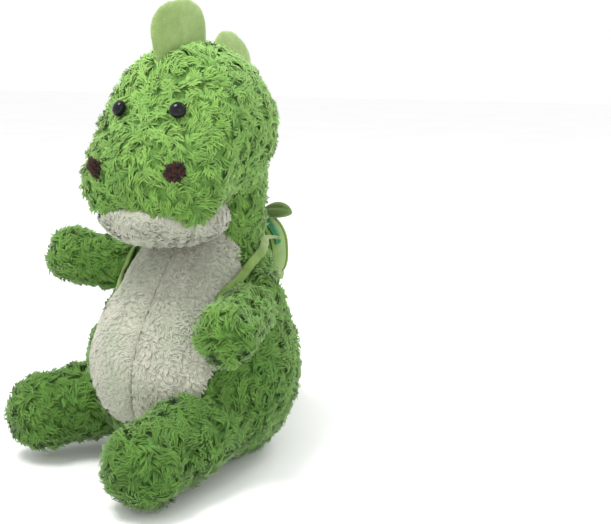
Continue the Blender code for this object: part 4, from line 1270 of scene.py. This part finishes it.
def strap_look():
    """Velour ribbon, darker along its edges."""
    look, tree, shader = new_material("strap_velour", srgb(120, 156, 66), 0.8, sheen=0.35,
                                      sheen_tint=(0.9, 1, 0.7, 1))
    broad = noise(tree, 60.0, 2.0)
    fine = noise(tree, 1100.0, 1.0)
    colour = between(tree, broad, 0.3, 0.7, srgb(98, 128, 52), srgb(124, 154, 76))
    across = add(tree, "ShaderNodeAttribute", attribute_name="across").outputs["Fac"]
    edge = ramp(tree, across, ((0.0, grey(0.74)), (0.16, grey(1.0)), (0.84, grey(1.0)), (1.0, grey(0.74))))
    colour = mixed(tree, "MULTIPLY", 1.0, colour, edge)
    colour = varied(tree, colour, fine, 0.86, 1.1)
    tree.links.new(colour, shader.inputs["Base Color"])
    bump(tree, shader, fine, 0.35, 0.0008)
    return look


STRAP = strap_look()
for side, sign in (("left", 1.0), ("right", -1.0)):
    extra = 0.0 if side == "left" else 0.004
    route = smooth_rows([(sign * x, y, z, sink) for x, y, z, sink in STRAP_ROUTE], 150)
    line = np.array([clear_of_body(p[:3], side, -p[3] - extra) for p in route])
    for _ in range(4):
        line[1:-1] = 0.25 * line[:-2] + 0.5 * line[1:-1] + 0.25 * line[2:]
    ahead = unit(np.gradient(line, axis=0))
    out = line - np.array((sign * 0.050, 0.030, 0.198))
    out = unit(out - ahead * (out * ahead).sum(1, keepdims=True))
    wide = np.cross(ahead, out)
    turn = turns(20)
    c, s = np.cos(turn), np.sin(turn)
    cross = np.stack([np.sign(c) * np.abs(c) ** 0.7 * 0.0049, np.sign(s) * np.abs(s) ** 0.9 * 0.0017], 1)
    wave = 0.0004 * np.sin(np.linspace(0, 46, len(line)))[:, None]
    rings = (line[:, None, :] + wide[:, None, :] * cross[None, :, 0, None]
             + out[:, None, :] * (cross[None, :, 1, None] + wave[:, :, None] + 0.0012))
    strap = make_object(f"strap_{side}_ribbon", *tube(rings), STRAP)
    mark = strap.data.attributes.new("across", "FLOAT", "POINT")
    spread = np.concatenate([np.tile(0.5 + cross[:, 0] / 0.0098, len(line)), (0.5, 0.5)])
    mark.data.foreach_set("value", spread.astype(np.float32))
    dress(strap, "torso", (f"strap_{side}",))

# ---------------------------------------------------------------- stage, light and camera

floor_look, tree, shader = new_material("pale_floor", (0.86, 0.86, 0.85, 1), 0.9)
floor_colour = ramp(tree, noise(tree, 3.0), ((0.3, grey(0.96)), (0.7, grey(0.98))))
tree.links.new(floor_colour, shader.inputs["Base Color"])
floor = make_object("floor", [(-8, -8, 0), (8, -8, 0), (8, 8, 0), (-8, 8, 0)], [(0, 1, 2, 3)], floor_look)


def softbox(name, place, aim, size, power):
    data = bpy.data.lights.new(name, "AREA")
    data.shape = "DISK"
    data.size = size
    data.energy = power
    obj = placed(name, data)
    obj.location = place
    obj.rotation_euler = (Vector(aim) - Vector(place)).to_track_quat("-Z", "Y").to_euler()


softbox("key_light", (-0.35, -0.7, 2.1), (0, 0, 0.25), 0.9, 30)
softbox("fill_light", (1.4, -1.0, 0.9), (0, 0, 0.2), 1.2, 3)
softbox("back_light", (0.4, 1.5, 1.5), (0, 0, 0.25), 1.0, 14)

world = bpy.data.worlds.new("studio")
world.use_nodes = True
world.node_tree.nodes["Background"].inputs["Color"].default_value = (1, 1, 1, 1)
world.node_tree.nodes["Background"].inputs["Strength"].default_value = 1.0
bpy.context.scene.world = world
bpy.context.scene.view_settings.view_transform = "Standard"

AZIMUTH, ELEVATION, DISTANCE, LENS, SENSOR = radians(34), radians(10), 1.2, 63.6, 36.0
AIM_RIGHT, AIM_DOWN = 0.12340, 0.02557  # metres; the toy stands left of the frame's middle and a little high
target = Vector((0, 0, 0.235))
outward = Vector((sin(AZIMUTH) * cos(ELEVATION), -cos(AZIMUTH) * cos(ELEVATION), sin(ELEVATION)))
place = target + outward * DISTANCE
right = Vector((cos(AZIMUTH), sin(AZIMUTH), 0))
upward = right.cross(-outward)
aim = target + right * AIM_RIGHT - upward * AIM_DOWN
camera_data = bpy.data.cameras.new("camera")
camera_data.lens = LENS
camera_data.sensor_width = SENSOR
camera = placed("camera", camera_data)
camera.location = place
camera.rotation_euler = (aim - place).to_track_quat("-Z", "Y").to_euler()
bpy.context.scene.camera = camera
